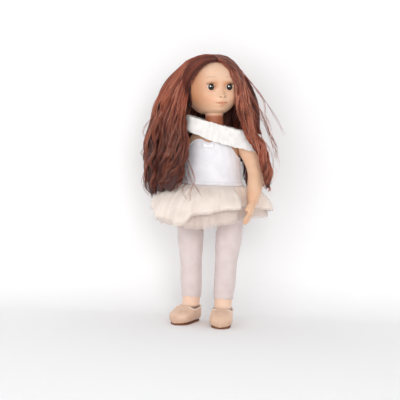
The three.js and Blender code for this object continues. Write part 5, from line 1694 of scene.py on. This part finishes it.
# %% Gather the band
def band_place(u, v):
    angle = 2 * np.pi * u
    ring = 2 * np.pi * v
    ruche = 0.35 * np.sin(90 * angle) + 0.2 * np.sin(140 * angle + 1)
    height = WAIST + (2.9 + 0.25 * np.sin(60 * angle)) * np.sin(ring)
    out = 3.4 + (1.2 + 0.6 * ruche) * np.cos(ring)
    return torso_point(angle, height, out)


band = shaped_grid("waist_roll", 320, 16, band_place, closed=True)
dress(band, white_knit, ["skirt_band"], "torso")

# %% [markdown]
# ## Collar ruffle
# A strip of soft white cotton gathered round the neck. It has slipped off the left shoulder, so its line
# runs from the right side of the neck down across the chest and round the left upper arm. The strip is
# one grid along that closed line with a fold over its upper edge and frills that grow towards the lower
# edge.

# %% Gather the collar
COLLAR_HALF = 15.0
COLLAR_FRILLS = 11
COLLAR_WALL = 0.8
FOLD_AT = 0.86
NARROW_AT, NARROW_SPAN, NARROW_SHARE = 0.89, 0.085, 0.26
FRILL_DEPTH = 1.6
NECK_BASE = np.array([0, 0, NECK])
LEFT_SHOULDER = np.array([ARM_FACE, 0, SHOULDER])
RIGHT_SHOULDER = np.array([-ARM_FACE, 0, SHOULDER])
COLLAR_LINE = np.array([
    NECK_BASE + (0, -31, -8), NECK_BASE + (28, -34, -15), LEFT_SHOULDER + (16, -26, 9),
    LEFT_SHOULDER + (33, -18.5, 6), LEFT_SHOULDER + (39.5, 0, 5), LEFT_SHOULDER + (33, 18.5, 6),
    LEFT_SHOULDER + (10, 28, 10), NECK_BASE + (6, 32, -11), NECK_BASE + (-28, 25, -2),
    RIGHT_SHOULDER + (-1, -4, 36), NECK_BASE + (-35, -30, 3),
])
COLLAR_MIDDLE = np.array([8, TORSO_BACK, NECK])
COLLAR_FLAT = (0.41, 0.036)

collar_cotton = Finish("collar_cotton", tint(241, 239, 236), 0.92, sheen_weight=0.4, sheen_roughness=0.5)
collar_flat = collar_cotton.unrolled(COLLAR_FLAT[0] * 1000, COLLAR_FLAT[1] * 1000)
along_collar, across_collar, _ = collar_cotton.parts(collar_flat)
fuzz = collar_cotton.noise(collar_flat, 0.9, 4.0)
crumple = collar_cotton.ramp(collar_cotton.noise(collar_cotton.millimetres(), 10.0, 3.0), 0.35, 0.75)
collar_cotton.put("Base Color", collar_cotton.mix(0.6 * crumple, tint(244, 242, 239), tint(226, 221, 217)))
weave = collar_cotton.sine(along_collar * 5.0) * collar_cotton.sine(across_collar * 5.0)
collar_cotton.emboss(fuzz + 0.4 * weave, 0.25, 0.6)


def loop_line(points, share):
    """A smooth closed curve through points."""
    count = len(points)
    place = share * count
    k = np.floor(place).astype(int)
    t = (place - k)[:, None]
    return glide(*(points[(k + step) % count] for step in (-1, 0, 1, 2)), t)


def collar_place(u, v):
    at = loop_line(COLLAR_LINE, u % 1.0)
    fold = np.clip((v - FOLD_AT) / (1 - FOLD_AT), 0, 1)
    rise = np.clip(v / FOLD_AT, 0, 1) * 2 - 1
    narrow = 1 - NARROW_SHARE * np.exp(-(((u % 1.0) - NARROW_AT) / NARROW_SPAN) ** 2)
    rise = COLLAR_HALF * narrow * (rise - 0.25 * fold)
    low = (COLLAR_HALF - rise) / (2 * COLLAR_HALF)
    turn = 2 * np.pi * u
    gathers = np.sin(COLLAR_FRILLS * turn + 1.6 * np.sin(2 * turn) + 0.9 * low)
    frill = 0.5 * FRILL_DEPTH * gathers * (0.1 + low)
    frill += 0.22 * np.sin(29 * turn + 2.3 * np.sin(3 * turn) + 2 * low) * (0.2 + low)
    frill += 0.16 * np.sin(67 * turn + 2 * np.sin(5 * turn)) * (1 - low)
    wavy = 0.5 * np.sin(19 * turn + 1.7 * np.sin(2 * turn)) * low**2 + 0.3 * np.sin(51 * turn + 1) * low**3
    out = frill - 0.22 * rise + 1.2 - 2.6 * fold
    points = at + outward(at, COLLAR_MIDDLE) * out[:, None]
    points[:, 2] += rise + wavy + 0.25 * np.sin(34 * turn + np.sin(3 * turn)) * (1 - low)
    return points


collar = shaped_grid("collar_frill", 480, 36, collar_place, closed=True)
thicken(collar, COLLAR_WALL)
dress(collar, collar_cotton, ["collar_ruffle"])
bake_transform(collar)

# %% [markdown]
# ## Hair
# Auburn rooted hair with a middle parting, long, thick and tousled on the right side, thinner on the
# left. Cards with painted strands would be lighter, but they look flat from the side, so every strand is
# a tube. A dark cap covers the scalp, and a dark core fills each thick lock as painted shade, which keeps
# daylight from showing between the strands. The strands start at the parting or the hairline, run over
# the skull and then follow the solid of the lock, drawn together into wavy clumps. Each clump has its own
# tone, strands are painted lighter on the outside of a lock and darker inside as shade, and the mass on
# the right is finely crimped and painted darker below as shade.

# %% Colour the hair
hair_fibre = Finish("hair_fibre", tint(120, 62, 46), 0.42, coat_weight=0.1)
hair_fibre.put("Specular IOR Level", 0.45)
_, tone_of_hair, _ = hair_fibre.parts(hair_fibre.unrolled(1.0, 1.0))
tone_stops = [
    (0.0, tint(44, 17, 16)), (0.25, tint(84, 34, 25)), (0.5, tint(148, 70, 48)), (0.75, tint(194, 108, 79)),
    (1.0, tint(220, 156, 130)),
]
hair_colour = hair_fibre.node("ShaderNodeValToRGB", {"stops": tone_stops}, {0: tone_of_hair})
hair_place = hair_fibre.millimetres()
hair_x, _, hair_z = hair_fibre.parts(hair_place)
patch = hair_fibre.ramp(hair_fibre.noise(hair_place, 24.0, 2.0), 0.4, 0.7)
hair_colour = hair_fibre.mix(0.35 * patch, hair_colour, tint(86, 38, 29))
# Painted shade: the lower hair on the right side is darkened, most of all on its inner part near the body.
right_side = 1 - hair_fibre.ramp(hair_x, -40.0, -10.0)
low_hair_shade = 1 - hair_fibre.ramp(hair_z, 300.0, 375.0)
inner_hair_shade = hair_fibre.ramp(hair_x, -106.0, -80.0)
hair_colour = hair_fibre.mix((0.26 + 0.2 * inner_hair_shade) * right_side * low_hair_shade, hair_colour, tint(48, 19, 18))
hair_fibre.put("Base Color", hair_colour)
hair_fibre.put("Roughness", 0.36 + 0.16 * patch)

scalp_hair = grained(
    "scalp_hair", (tint(46, 20, 17), tint(88, 44, 34)), 0.6, 0.9,
    stretch=(0.25, 1.0, 0.25), relief=(0.4, 0.8), matrix=skull_frame,
)
# Painted shade: a dark filling for the inside of thick locks, where the strands shade one another.
core_shade_hair = grained(
    "core_shade_hair", (tint(40, 19, 17), tint(80, 41, 36)), 0.7, 1.6,
    stretch=(1.0, 1.0, 0.12), relief=(0.5, 1.0),
)
print("finishes of the hair:", hair_fibre.material.name, scalp_hair.material.name, core_shade_hair.material.name)

# %% Cover the scalp
CAP_LIFT = 2.2
CAP_WALL = 1.6
CAP_SEGMENTS, CAP_RINGS = 128, 110


def quadratic(a, b, c, share):
    """A bow from a to c, drawn towards b."""
    a, b, c = (np.asarray(point, float) for point in (a, b, c))
    share = share[:, None]
    return a * (1 - share) ** 2 + 2 * b * share * (1 - share) + c * share**2


parts_of_line = np.linspace(0, 1, 30)
HAIRLINE_TOP = 105.0
HAIRLINE_LOW = 32.4
hairline = np.vstack([
    quadratic((-27.5, HAIRLINE_TOP), (-22.4, 81.4), (-21.4, 62.2), parts_of_line),
    quadratic((-21.4, 62.2), (-18.0, 40.6), (4.8, HAIRLINE_LOW), parts_of_line),
])


def behind_hairline(points):
    """Which points of the skull's frame are covered with hair."""
    line = np.interp(points[:, 2], hairline[::-1, 1], hairline[::-1, 0]) + SKULL_SET_BACK
    return ((points[:, 1] > line) | (points[:, 2] > HAIRLINE_TOP)) & (points[:, 2] > HAIRLINE_LOW)


cap = add_ball("scalp_cap", CAP_SEGMENTS, CAP_RINGS, 1.0)
cap_points = skull_points(coordinates(cap), CAP_LIFT)
keep = behind_hairline(cap_points)
lay(cap, moved(cap_points, skull_frame) * MM)
bpy.ops.object.mode_set(mode="EDIT")
bpy.ops.mesh.select_all(action="DESELECT")
bpy.ops.object.mode_set(mode="OBJECT")
cap.data.vertices.foreach_set("select", ~keep)
bpy.ops.object.mode_set(mode="EDIT")
bpy.ops.mesh.delete(type="VERT")
bpy.ops.object.mode_set(mode="OBJECT")
close_up(cap, False)
thicken(cap, CAP_WALL)
shade_round(cap)
dress(cap, scalp_hair, ["hair_cap"], "head")

# %% Place the locks
HEAD_MIDDLE = np.array([
    -SKULL_SET_BACK * math.sin(HEAD_TURN), SKULL_SET_BACK * math.cos(HEAD_TURN), NECK + SKULL_UP,
])
RIGHT_WAIST = np.array([-ARM_FACE, 0, WAIST])
LEFT_WAIST = np.array([ARM_FACE, 0, WAIST])
BACK_WAIST = np.array([0, 0, WAIST])


def lock(*stations):
    """Stations of a lock: an anchor, an offset from it and the half thickness and half width there."""
    return np.array([
        [*(anchor + np.array((x, y, z))), deep, wide] for anchor, x, y, z, deep, wide in stations
    ])


# The way each lock faces, and its stations from the root to the tip
LOCKS = {
    "hair_right_side": ((-0.95, -0.3, 0), lock(
        (HEAD_MIDDLE, -42, -2, 36, 8, 14), (HEAD_MIDDLE, -70, -6, -2, 13, 24),
        (HEAD_MIDDLE, -85, -8, -44, 15, 25),
        (RIGHT_SHOULDER, -53, -12, 8, 15, 25), (RIGHT_SHOULDER, -55, -16, -32, 14.5, 25),
        (RIGHT_WAIST, -52, -20, -6, 12, 20), (RIGHT_WAIST, -49, -24, -32, 4, 9))),
    "hair_right_front": ((-0.5, -0.85, 0), lock(
        (HEAD_MIDDLE, -40, -20, 20, 6, 12), (HEAD_MIDDLE, -50, -32, -20, 8, 18),
        (HEAD_MIDDLE, -53, -41, -60, 9, 24), (RIGHT_SHOULDER, -7, -45, 0, 9.5, 26),
        (RIGHT_SHOULDER, -10, -48, -36, 9, 26), (RIGHT_WAIST, -15, -52, -2, 7, 22),
        (RIGHT_WAIST, -22, -56, -18, 3, 11))),
    "hair_right_back": ((-0.5, 0.85, 0), lock(
        (HEAD_MIDDLE, -34, 40, 14, 6, 18), (HEAD_MIDDLE, -50, 52, -26, 9, 23),
        (HEAD_MIDDLE, -56, 52, -66, 9, 24),
        (RIGHT_SHOULDER, -15, 52, 0, 9, 24), (RIGHT_SHOULDER, -18, 52, -40, 9, 23),
        (RIGHT_WAIST, -18, 54, -9, 8, 20), (RIGHT_WAIST, -14, 56, -26, 3, 10))),
    "hair_back": ((0, 1, 0), lock(
        (HEAD_MIDDLE, 0, 52, 16, 6, 26), (HEAD_MIDDLE, 0, 62, -24, 8.5, 31), (HEAD_MIDDLE, 0, 60, -64, 9, 32),
        (BACK_WAIST, 0, 54, 67, 9, 32), (BACK_WAIST, 0, 52, 27, 9, 31),
        (BACK_WAIST, 0, 56, -7, 8, 27), (BACK_WAIST, 0, 60, -26, 3, 16))),
    "hair_left_back": ((0.5, 0.85, 0), lock(
        (HEAD_MIDDLE, 36, 40, 14, 6, 18), (HEAD_MIDDLE, 50, 50, -26, 9, 22),
        (HEAD_MIDDLE, 55, 50, -66, 9, 22),
        (LEFT_SHOULDER, 14, 50, 0, 9, 22), (LEFT_SHOULDER, 16, 50, -40, 9, 21),
        (LEFT_WAIST, 16, 52, -3, 8, 18), (LEFT_WAIST, 12, 54, -22, 3, 9))),
    "hair_left_side": ((0.75, -0.66, 0), lock(
        (HEAD_MIDDLE, 39, -1, 26, 5, 11), (HEAD_MIDDLE, 50, -8, -10, 6, 13),
        (HEAD_MIDDLE, 60, -20, -44, 6.5, 13),
        (LEFT_SHOULDER, 30, -35, 16, 5, 10), (LEFT_SHOULDER, 44, -32, -4, 4.5, 8),
        (LEFT_SHOULDER, 52, -24, -32, 4.5, 7), (LEFT_SHOULDER, 54, -20, -56, 4, 6),
        (LEFT_SHOULDER, 53, -18, -74, 2, 3))),
    "hair_left_wisp": ((0.8, -0.6, 0), lock(
        (HEAD_MIDDLE, 50, 6, 8, 3, 5), (HEAD_MIDDLE, 74, 6, -32, 3, 4), (HEAD_MIDDLE, 96, 6, -72, 2.5, 3.5),
        (LEFT_SHOULDER, 63, 4, -10, 2.5, 3), (LEFT_SHOULDER, 68.5, 2, -40, 1.6, 2))),
}


def between(one, other):
    """A lock halfway between two others, for hair that is one mass there."""
    facing = np.array(LOCKS[one][0]) + np.array(LOCKS[other][0])
    return unit(facing), 0.5 * (LOCKS[one][1] + LOCKS[other][1])


def on_skull(*stations):
    """Stations given from the middle of the skull in its own frame."""
    rows = np.array(stations, float)
    rows[:, :3] = moved(rows[:, :3] + [0, SKULL_SET_BACK, SKULL_UP], skull_frame)
    return rows


temple = on_skull(
    (10, -33, 37, 2, 4), (21, -37, 26, 2.5, 5), (25.5, -42, 13, 3, 6), (31, -43.5, -3, 3, 6),
    (32, -43, -20, 3.5, 7),
)
LOCKS["hair_left_temple"] = ((0.6, -0.8, 0), np.vstack([temple, lock(
    (HEAD_MIDDLE, 56, -23, -44, 4, 8), (LEFT_SHOULDER, 28, -37, 16, 4, 7),
    (LEFT_SHOULDER, 40, -34, -4, 3, 5))]))
LOCKS["hair_left_ear"] = ((0.95, 0.25, 0), lock(
    (HEAD_MIDDLE, 40, 20, 20, 4, 16), (HEAD_MIDDLE, 47, 22, -16, 5, 19), (HEAD_MIDDLE, 51, 20, -46, 4.5, 18),
    (HEAD_MIDDLE, 52, 17, -62, 2.5, 11)))
LOCKS["hair_right_middle"] = between("hair_right_front", "hair_right_side")
LOCKS["hair_nape_right"] = between("hair_back", "hair_right_back")
nape_facing, nape_stations = between("hair_back", "hair_left_back")
LOCKS["hair_nape_left"] = (nape_facing, nape_stations[:5])
print("locks:", len(LOCKS))

# %% Root the locks
# Roots of each lock, from the middle of the skull in its own frame, and its strands, clumps and wave
ROOTS = {
    "hair_right_side": ([(-1, -16, 45), (-1, -4, 48), (-1, 10, 47)], 700, 40, 6.5),
    "hair_right_front": ([(-2, -28, 41), (-19, -29, 36), (-33, -28, 21), (-42, -24, 4)], 740, 44, 6.0),
    "hair_right_back": ([(-1, 8, 47), (-1, 30, 38), (-3, 42, 24)], 560, 32, 4.0),
    "hair_back": ([(-10, 36, 32), (0, 40, 30), (10, 36, 32)], 620, 36, 4.0),
    "hair_left_back": ([(1, 8, 47), (1, 30, 38), (3, 42, 24)], 560, 32, 4.0),
    "hair_left_side": ([(1, -30, 39), (18, -30, 34), (31, -29, 22), (2, -8, 47)], 900, 30, 4.6),
    "hair_left_wisp": ([(28, -22, 28), (34, -18, 20)], 14, 14, 3.0),
    "hair_right_middle": ([(-1, -22, 43), (-1, -12, 46), (-1, -4, 48)], 600, 34, 6.0),
    "hair_left_temple": ([(1, -29, 40), (1, -20, 44)], 420, 18, 2.5),
    "hair_left_ear": ([(1, -8, 47), (1, 6, 48), (1, 20, 45)], 320, 20, 2.5),
    "hair_nape_right": ([(-1, 20, 45), (-3, 36, 34), (-6, 40, 26)], 320, 26, 4.0),
    "hair_nape_left": ([(1, 20, 45), (3, 36, 34), (6, 40, 26)], 320, 26, 4.0),
}
# How much shorter a lock is towards its inner edge
SLANTS = {"hair_right_front": 0.05, "hair_right_middle": 0.02}
SCALP_POINTS = 6
SCALP_GAP = 0.8
LOCK_POINTS = 24
STRAND_R = 0.45
# Locks behind the head have fewer and thicker strands
BACK_LOCKS = (
    "hair_right_back", "hair_back", "hair_left_back", "hair_left_ear", "hair_nape_right", "hair_nape_left",
)
BACK_POINTS = 17
BACK_STRAND_R = 0.58
# The right-hand mass is finely crimped below
CRIMPED_LOCKS = ("hair_right_side", "hair_right_front", "hair_right_middle")
CRIMPED_POINTS = 36
CRIMPED_STRAND_R = 0.5
CRIMP = 1.5
STRAY_SHARE = 0.05
WISP_R = 0.24
THIN_LOCKS = ("hair_left_wisp", "hair_left_temple")
LOCK_SEED = 100
# Lengths as shares of the lock, cycles of the waves, and how far strands wander
CLUMP_LENGTHS, STRAND_LENGTHS = (0.8, 1.0), (0.93, 1.0)
WAVE_CYCLES, CRIMP_CYCLES = (2.6, 5.4), (8, 11)
STRAY_WANDER, STRAND_WANDER = 4.5, 0.8
CLUMP_PULL = 0.62
skull_middle = moved(np.array([[0, SKULL_SET_BACK, SKULL_UP]]), skull_frame)[0]
skull_turn = np.array(skull_frame.to_3x3())


def scalp_reach(direction):
    """Distance from the middle of the skull to its surface along directions in the world."""
    x, y, z = (direction @ skull_turn).T
    deep = np.where(y < 0, SKULL_FRONT, SKULL_DEEP)
    plan = (np.abs(x / SKULL_HALF) ** SKULL_SQUARE + np.abs(y / deep) ** SKULL_SQUARE) ** (2 / SKULL_SQUARE)
    return 1 / np.sqrt(plan + (z / SKULL_HIGH) ** 2)


print("strands in the locks:", sum(row[1] for row in ROOTS.values()))


# %% Lay the strands of a lock
def in_disc(rng, number):
    """Places in a round cross section, crowded towards its edge."""
    reach, turn = rng.uniform(0, 1, number) ** 0.42, rng.uniform(0, 2 * np.pi, number)
    return np.stack([reach * np.cos(turn), reach * np.sin(turn)], 1)


def lock_paths(stations, facing, count, rng, clump_count, wave, slant, points, crimp):
    """Paths of strands inside a lock, drawn together into wavy clumps, and the tone of each strand, with
    painted shade inside the lock.
    """
    clumps, own = in_disc(rng, clump_count), in_disc(rng, count)
    nearest = np.argmin(((own[:, None] - clumps[None]) ** 2).sum(2), axis=1)
    middle = clumps[nearest]
    length = rng.uniform(*CLUMP_LENGTHS, clump_count)[nearest] * rng.uniform(*STRAND_LENGTHS, count)
    length = length * (1 - slant * (1 - own[:, 1]))
    share = np.linspace(0, 1, points)[None, :] * length[:, None]
    row, out, beside = cross_axes(stations, facing, share.ravel())
    stray = rng.uniform(size=count) < STRAY_SHARE
    wander = rng.normal(0, 1, (2, count, 1)) * np.where(stray, STRAY_WANDER, STRAND_WANDER)[:, None]
    wander = wander * np.sin(2 * np.pi * share * rng.uniform(0.5, 1.7, (count, 1))) * (0.4 + share)
    pull = 1 - CLUMP_PULL * smooth(share * 1.15)
    place = middle[:, None] + (own - middle)[:, None] * pull[:, :, None]
    cycles = rng.uniform(*WAVE_CYCLES, clump_count)[nearest]
    phase = rng.normal(0, 1.6, clump_count)[nearest] + rng.normal(0, 0.3, count)
    swing = wave * rng.uniform(0.4, 1.25, clump_count)[nearest]
    strength = swing[:, None] * smooth(share * 3) * (0.3 + 0.7 * smooth(share * 1.4))
    turn = 2 * np.pi * cycles[:, None] * share**1.2 + phase[:, None]
    thick = place[:, :, 0] * row[:, 3].reshape(share.shape) + 0.6 * strength * np.cos(turn) + wander[0]
    wide = place[:, :, 1] * row[:, 4].reshape(share.shape) + strength * np.sin(turn) + wander[1]
    crimps = rng.uniform(*CRIMP_CYCLES, clump_count)[nearest]
    crimp_turn = 2 * np.pi * crimps[:, None] * share + 2 * phase[:, None]
    crimp_size = crimp * smooth(2 * share - 0.4)
    thick = thick + 0.5 * crimp_size * np.cos(crimp_turn)
    wide = wide + crimp_size * np.sin(crimp_turn)
    path = row[:, :3] + out * thick.reshape(-1, 1) + beside * wide.reshape(-1, 1)
    # Painted shade: strands on the outer face of a lock are lighter, those inside it darker.
    tone = 0.08 + 0.46 * rng.uniform(size=clump_count)[nearest] ** 1.2 + 0.2 * (own[:, 0] + 1) / 2
    tone = tone + 0.5 * rng.uniform(size=count) ** 2.5 + np.where(stray, 0.2, 0.0)
    return path.reshape(*share.shape, 3), tone, stray


def over_ball(start, finish, share):
    """Directions on the shortest way over a ball from start to finish."""
    angle = np.arccos(np.clip((start * finish).sum(1), -1, 1))[:, None]
    return (np.sin((1 - share) * angle) * start + np.sin(share * angle) * finish) / np.sin(angle)


def scalp_paths(roots, entry, rng):
    """Paths from the roots over the skull to where each strand enters its lock."""
    count = len(entry)
    root = spline(roots, rng.uniform(0, 1, count)) + rng.normal(0, 0.9, (count, 3))
    start = unit(root @ skull_turn.T)
    far = np.linalg.norm(entry - skull_middle, axis=1)
    finish = unit(entry - skull_middle)
    lift = rng.uniform(1.0, 5.0, count)
    rows = []
    for share in np.linspace(0, 1, SCALP_POINTS + 1)[:-1]:
        way = unit(over_ball(start, finish, share))
        surface = scalp_reach(way) + SCALP_GAP + lift * (0.4 + 0.6 * smooth(share * 4))
        reach = surface * (1 - share**3) + np.maximum(far, scalp_reach(way) + 1.0) * share**3
        rows.append(skull_middle + way * reach[:, None])
    return np.stack(rows, 1)


print("points of a strand on the scalp:", SCALP_POINTS)


# %% Comb the locks
def tone_rows(tone):
    """Rows of the flat map for shades from 0 to 1."""
    return np.clip(tone * SHADE_ROWS, 0, SHADE_ROWS - 1).astype(int)


def hang(piece):
    """Bake the placement of a piece of hair into its mesh."""
    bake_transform(piece)


def comb(name, seed):
    """Make the strands of a lock, from their roots to their tips."""
    facing, stations = LOCKS[name]
    roots, count, clump_count, wave = ROOTS[name]
    rng = np.random.default_rng(seed)
    slant = SLANTS.get(name, 0.0)
    points, strand_r, crimp = LOCK_POINTS, STRAND_R, 0.0
    if name in BACK_LOCKS:
        points, strand_r = BACK_POINTS, BACK_STRAND_R
    if name in CRIMPED_LOCKS:
        points, strand_r, crimp = CRIMPED_POINTS, CRIMPED_STRAND_R, CRIMP
    hanging, tone, stray = lock_paths(stations, facing, count, rng, clump_count, wave, slant, points, crimp)
    path = np.concatenate([scalp_paths(roots, hanging[:, 0], rng), hanging], 1)
    share = np.linspace(0, 1, path.shape[1])[None, :]
    girth = strand_r * rng.uniform(0.6, 1.3, (count, 1)) * np.where(stray, 0.6, 1.0)[:, None]
    if name == "hair_left_wisp":
        girth = np.full((count, 1), WISP_R)
    radii = girth * (1 - 0.85 * smooth((share - 0.7) / 0.3)) * (0.6 + 0.4 * smooth(share * 6))
    piece = strands(name.replace("hair", "strands"), path, radii, tone_rows(tone))
    dress(piece, hair_fibre, [name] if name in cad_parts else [])
    hang(piece)


CORE_LENGTH, CORE_GIRTH = 0.93, 0.7


def core_place(name):
    """A plain dark filling inside a lock, as painted shade."""
    facing, stations = LOCKS[name]

    def place(u, v):
        row, out, beside = cross_axes(stations, facing, CORE_LENGTH * v)
        turn = 2 * np.pi * u
        girth = CORE_GIRTH * np.minimum(1, 8 * v)[:, None]
        thick, wide = row[:, 3:4] * np.cos(turn)[:, None], row[:, 4:5] * np.sin(turn)[:, None]
        return row[:, :3] + girth * (out * thick + beside * wide)

    return place


for number, name in enumerate(LOCKS):
    comb(name, LOCK_SEED + number)
    if name in THIN_LOCKS:
        continue
    core = shaped_grid(name.replace("hair", "core"), 28, 60, core_place(name), capped=True)
    dress(core, core_shade_hair, [])
    hang(core)

# %% Comb the hair on the scalp
SCALP_STRANDS = 1500
CAP_POINTS = 11
PARTING = [(0, -29, 39), (0, -16, 46), (0, 2, 49), (0, 20, 45), (0, 36, 33)]
rng = np.random.default_rng(140)
place_on_part = rng.uniform(0, 1, SCALP_STRANDS)
side_of_part = np.where(rng.uniform(size=SCALP_STRANDS) < 0.5, -1.0, 1.0)
root = spline(PARTING, place_on_part) + rng.normal(0, 0.7, (SCALP_STRANDS, 3))
root[:, 0] += 1.2 * side_of_part
start = unit(root)
sweep = np.where(side_of_part > 0, -0.5, -0.02) + 1.7 * place_on_part + rng.normal(0, 0.06, SCALP_STRANDS)
finish = unit(np.stack([side_of_part * np.cos(sweep), np.sin(sweep), -0.75 + 0 * sweep], 1))
lift = rng.uniform(2.2, 5.8, SCALP_STRANDS)
wave = rng.uniform(0, 2 * np.pi, SCALP_STRANDS)
rows = []
for share in np.linspace(0, 1, CAP_POINTS):
    way = over_ball(start, finish, share)
    way[:, 1] += 0.035 * np.sin(5 * share + wave) * share
    way[:, 1:] += np.array([0.045, 0.06]) * math.sin(math.pi * share)
    way = unit(way) @ skull_turn.T
    reach = scalp_reach(way) + SCALP_GAP + 0.5 * CAP_LIFT + lift * (0.4 + 0.6 * smooth(share * 5))
    rows.append(skull_middle + way * reach[:, None])
scalp_path = np.stack(rows, 1)
radii = STRAND_R * rng.uniform(0.7, 1.4, (SCALP_STRANDS, 1)) * np.linspace(0.9, 0.5, CAP_POINTS)[None, :]
scalp_tone = 0.12 + 0.4 * rng.uniform(size=SCALP_STRANDS) ** 1.5
scalp_tone += 0.22 * (0.5 + 0.5 * np.sin(40 * place_on_part + 2.2 * side_of_part))
scalp_strands = strands("strands_scalp", scalp_path, radii, tone_rows(scalp_tone))
dress(scalp_strands, hair_fibre, [], "head")

# %% Let a few strands stray
STRAYS = [
    [(-88, -10, 354), (-107, -12, 340), (-117, -14, 324), (-118, -14, 315), (-110, -12, 305)],
    [(-104, -14, 304), (-114, -16, 294), (-118, -18, 283), (-117, -18, 277), (-108, -16, 275)],
    [(-102, -18, 264), (-112, -20, 250), (-114, -22, 235), (-109, -24, 220), (-99, -26, 211)],
    [(-29, -52, 275), (-19, -56, 256), (-14, -62, 241), (-16, -76, 227), (-13, -88, 211)],
    [(-30, -52, 265), (-24, -56, 250), (-16, -62, 236), (-7, -72, 228), (2, -80, 220)],
    [(-34, -54, 255), (-27, -60, 239), (-30, -74, 227), (-19, -86, 213)],
    [(38, 12, 426), (60, 8, 404), (80, 6, 378), (87, 4, 346), (97, 2, 312), (106, 0, 284)],
    [(50, 10, 397), (71, 8, 368), (87, 4, 348), (94, 2, 334), (103, 0, 299)],
    [(55, 14, 407), (82, 14, 376), (104, 12, 347), (118, 10, 322)],
    [(50, -5, 384), (74, -15, 347), (86, -20, 315), (103, -20, 293), (106, -16, 267)],
]
STRAY_TWINS = 3
STRAY_POINTS = 28
STRAY_R = 0.4
STRAY_SPREAD = 1.3
rng = np.random.default_rng(150)
stray_paths = []
for stations in STRAYS:
    for _ in range(STRAY_TWINS):
        bent = np.array(stations, float) + rng.normal(0, STRAY_SPREAD, (len(stations), 3))
        stray_paths.append(spline(bent, np.linspace(0, 1, STRAY_POINTS)))
stray_paths = np.array(stray_paths)
stray_radii = np.full(stray_paths.shape[:2], STRAY_R) * np.linspace(1, 0.4, STRAY_POINTS)
stray_rows = tone_rows(rng.uniform(0.35, 0.85, len(stray_paths)))
stray_strands = strands("strands_stray", stray_paths, stray_radii, stray_rows)
dress(stray_strands, hair_fibre, [])
hang(stray_strands)

# %% [markdown]
# ## The hidden mechanism
# Some solids need no new shape: the hip block, the tie that holds the torso to the plate, and the
# bracket, wire and weight of the eyes. They keep their solids and get a moulded plastic or a drawn steel
# finish.

# %% Finish the inner parts
plastic_tints = (tint(222, 217, 209), tint(206, 200, 191))
hard_plastic = grained("hard_plastic", plastic_tints, 0.38, 1.2, 3.0, rougher=0.16, relief=(0.06, 0.4))
steel_tints = (tint(164, 166, 170), tint(122, 124, 128))
drawn_steel = grained(
    "drawn_steel", steel_tints, 0.24, 0.8, 3.0, stretch=(0.2, 2.0, 2.0), rougher=0.2, metallic=1.0,
)
INNER_FINISHES = {
    "hip_block": hard_plastic, "plate_tie": hard_plastic, "eye_bracket": hard_plastic,
    "eye_rocker": drawn_steel, "eye_weight": drawn_steel,
}
for name, finish in INNER_FINISHES.items():
    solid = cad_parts[name]
    solid.data.materials.clear()
    solid.data.materials.append(finish.material)
    print(name, "keeps its solid")
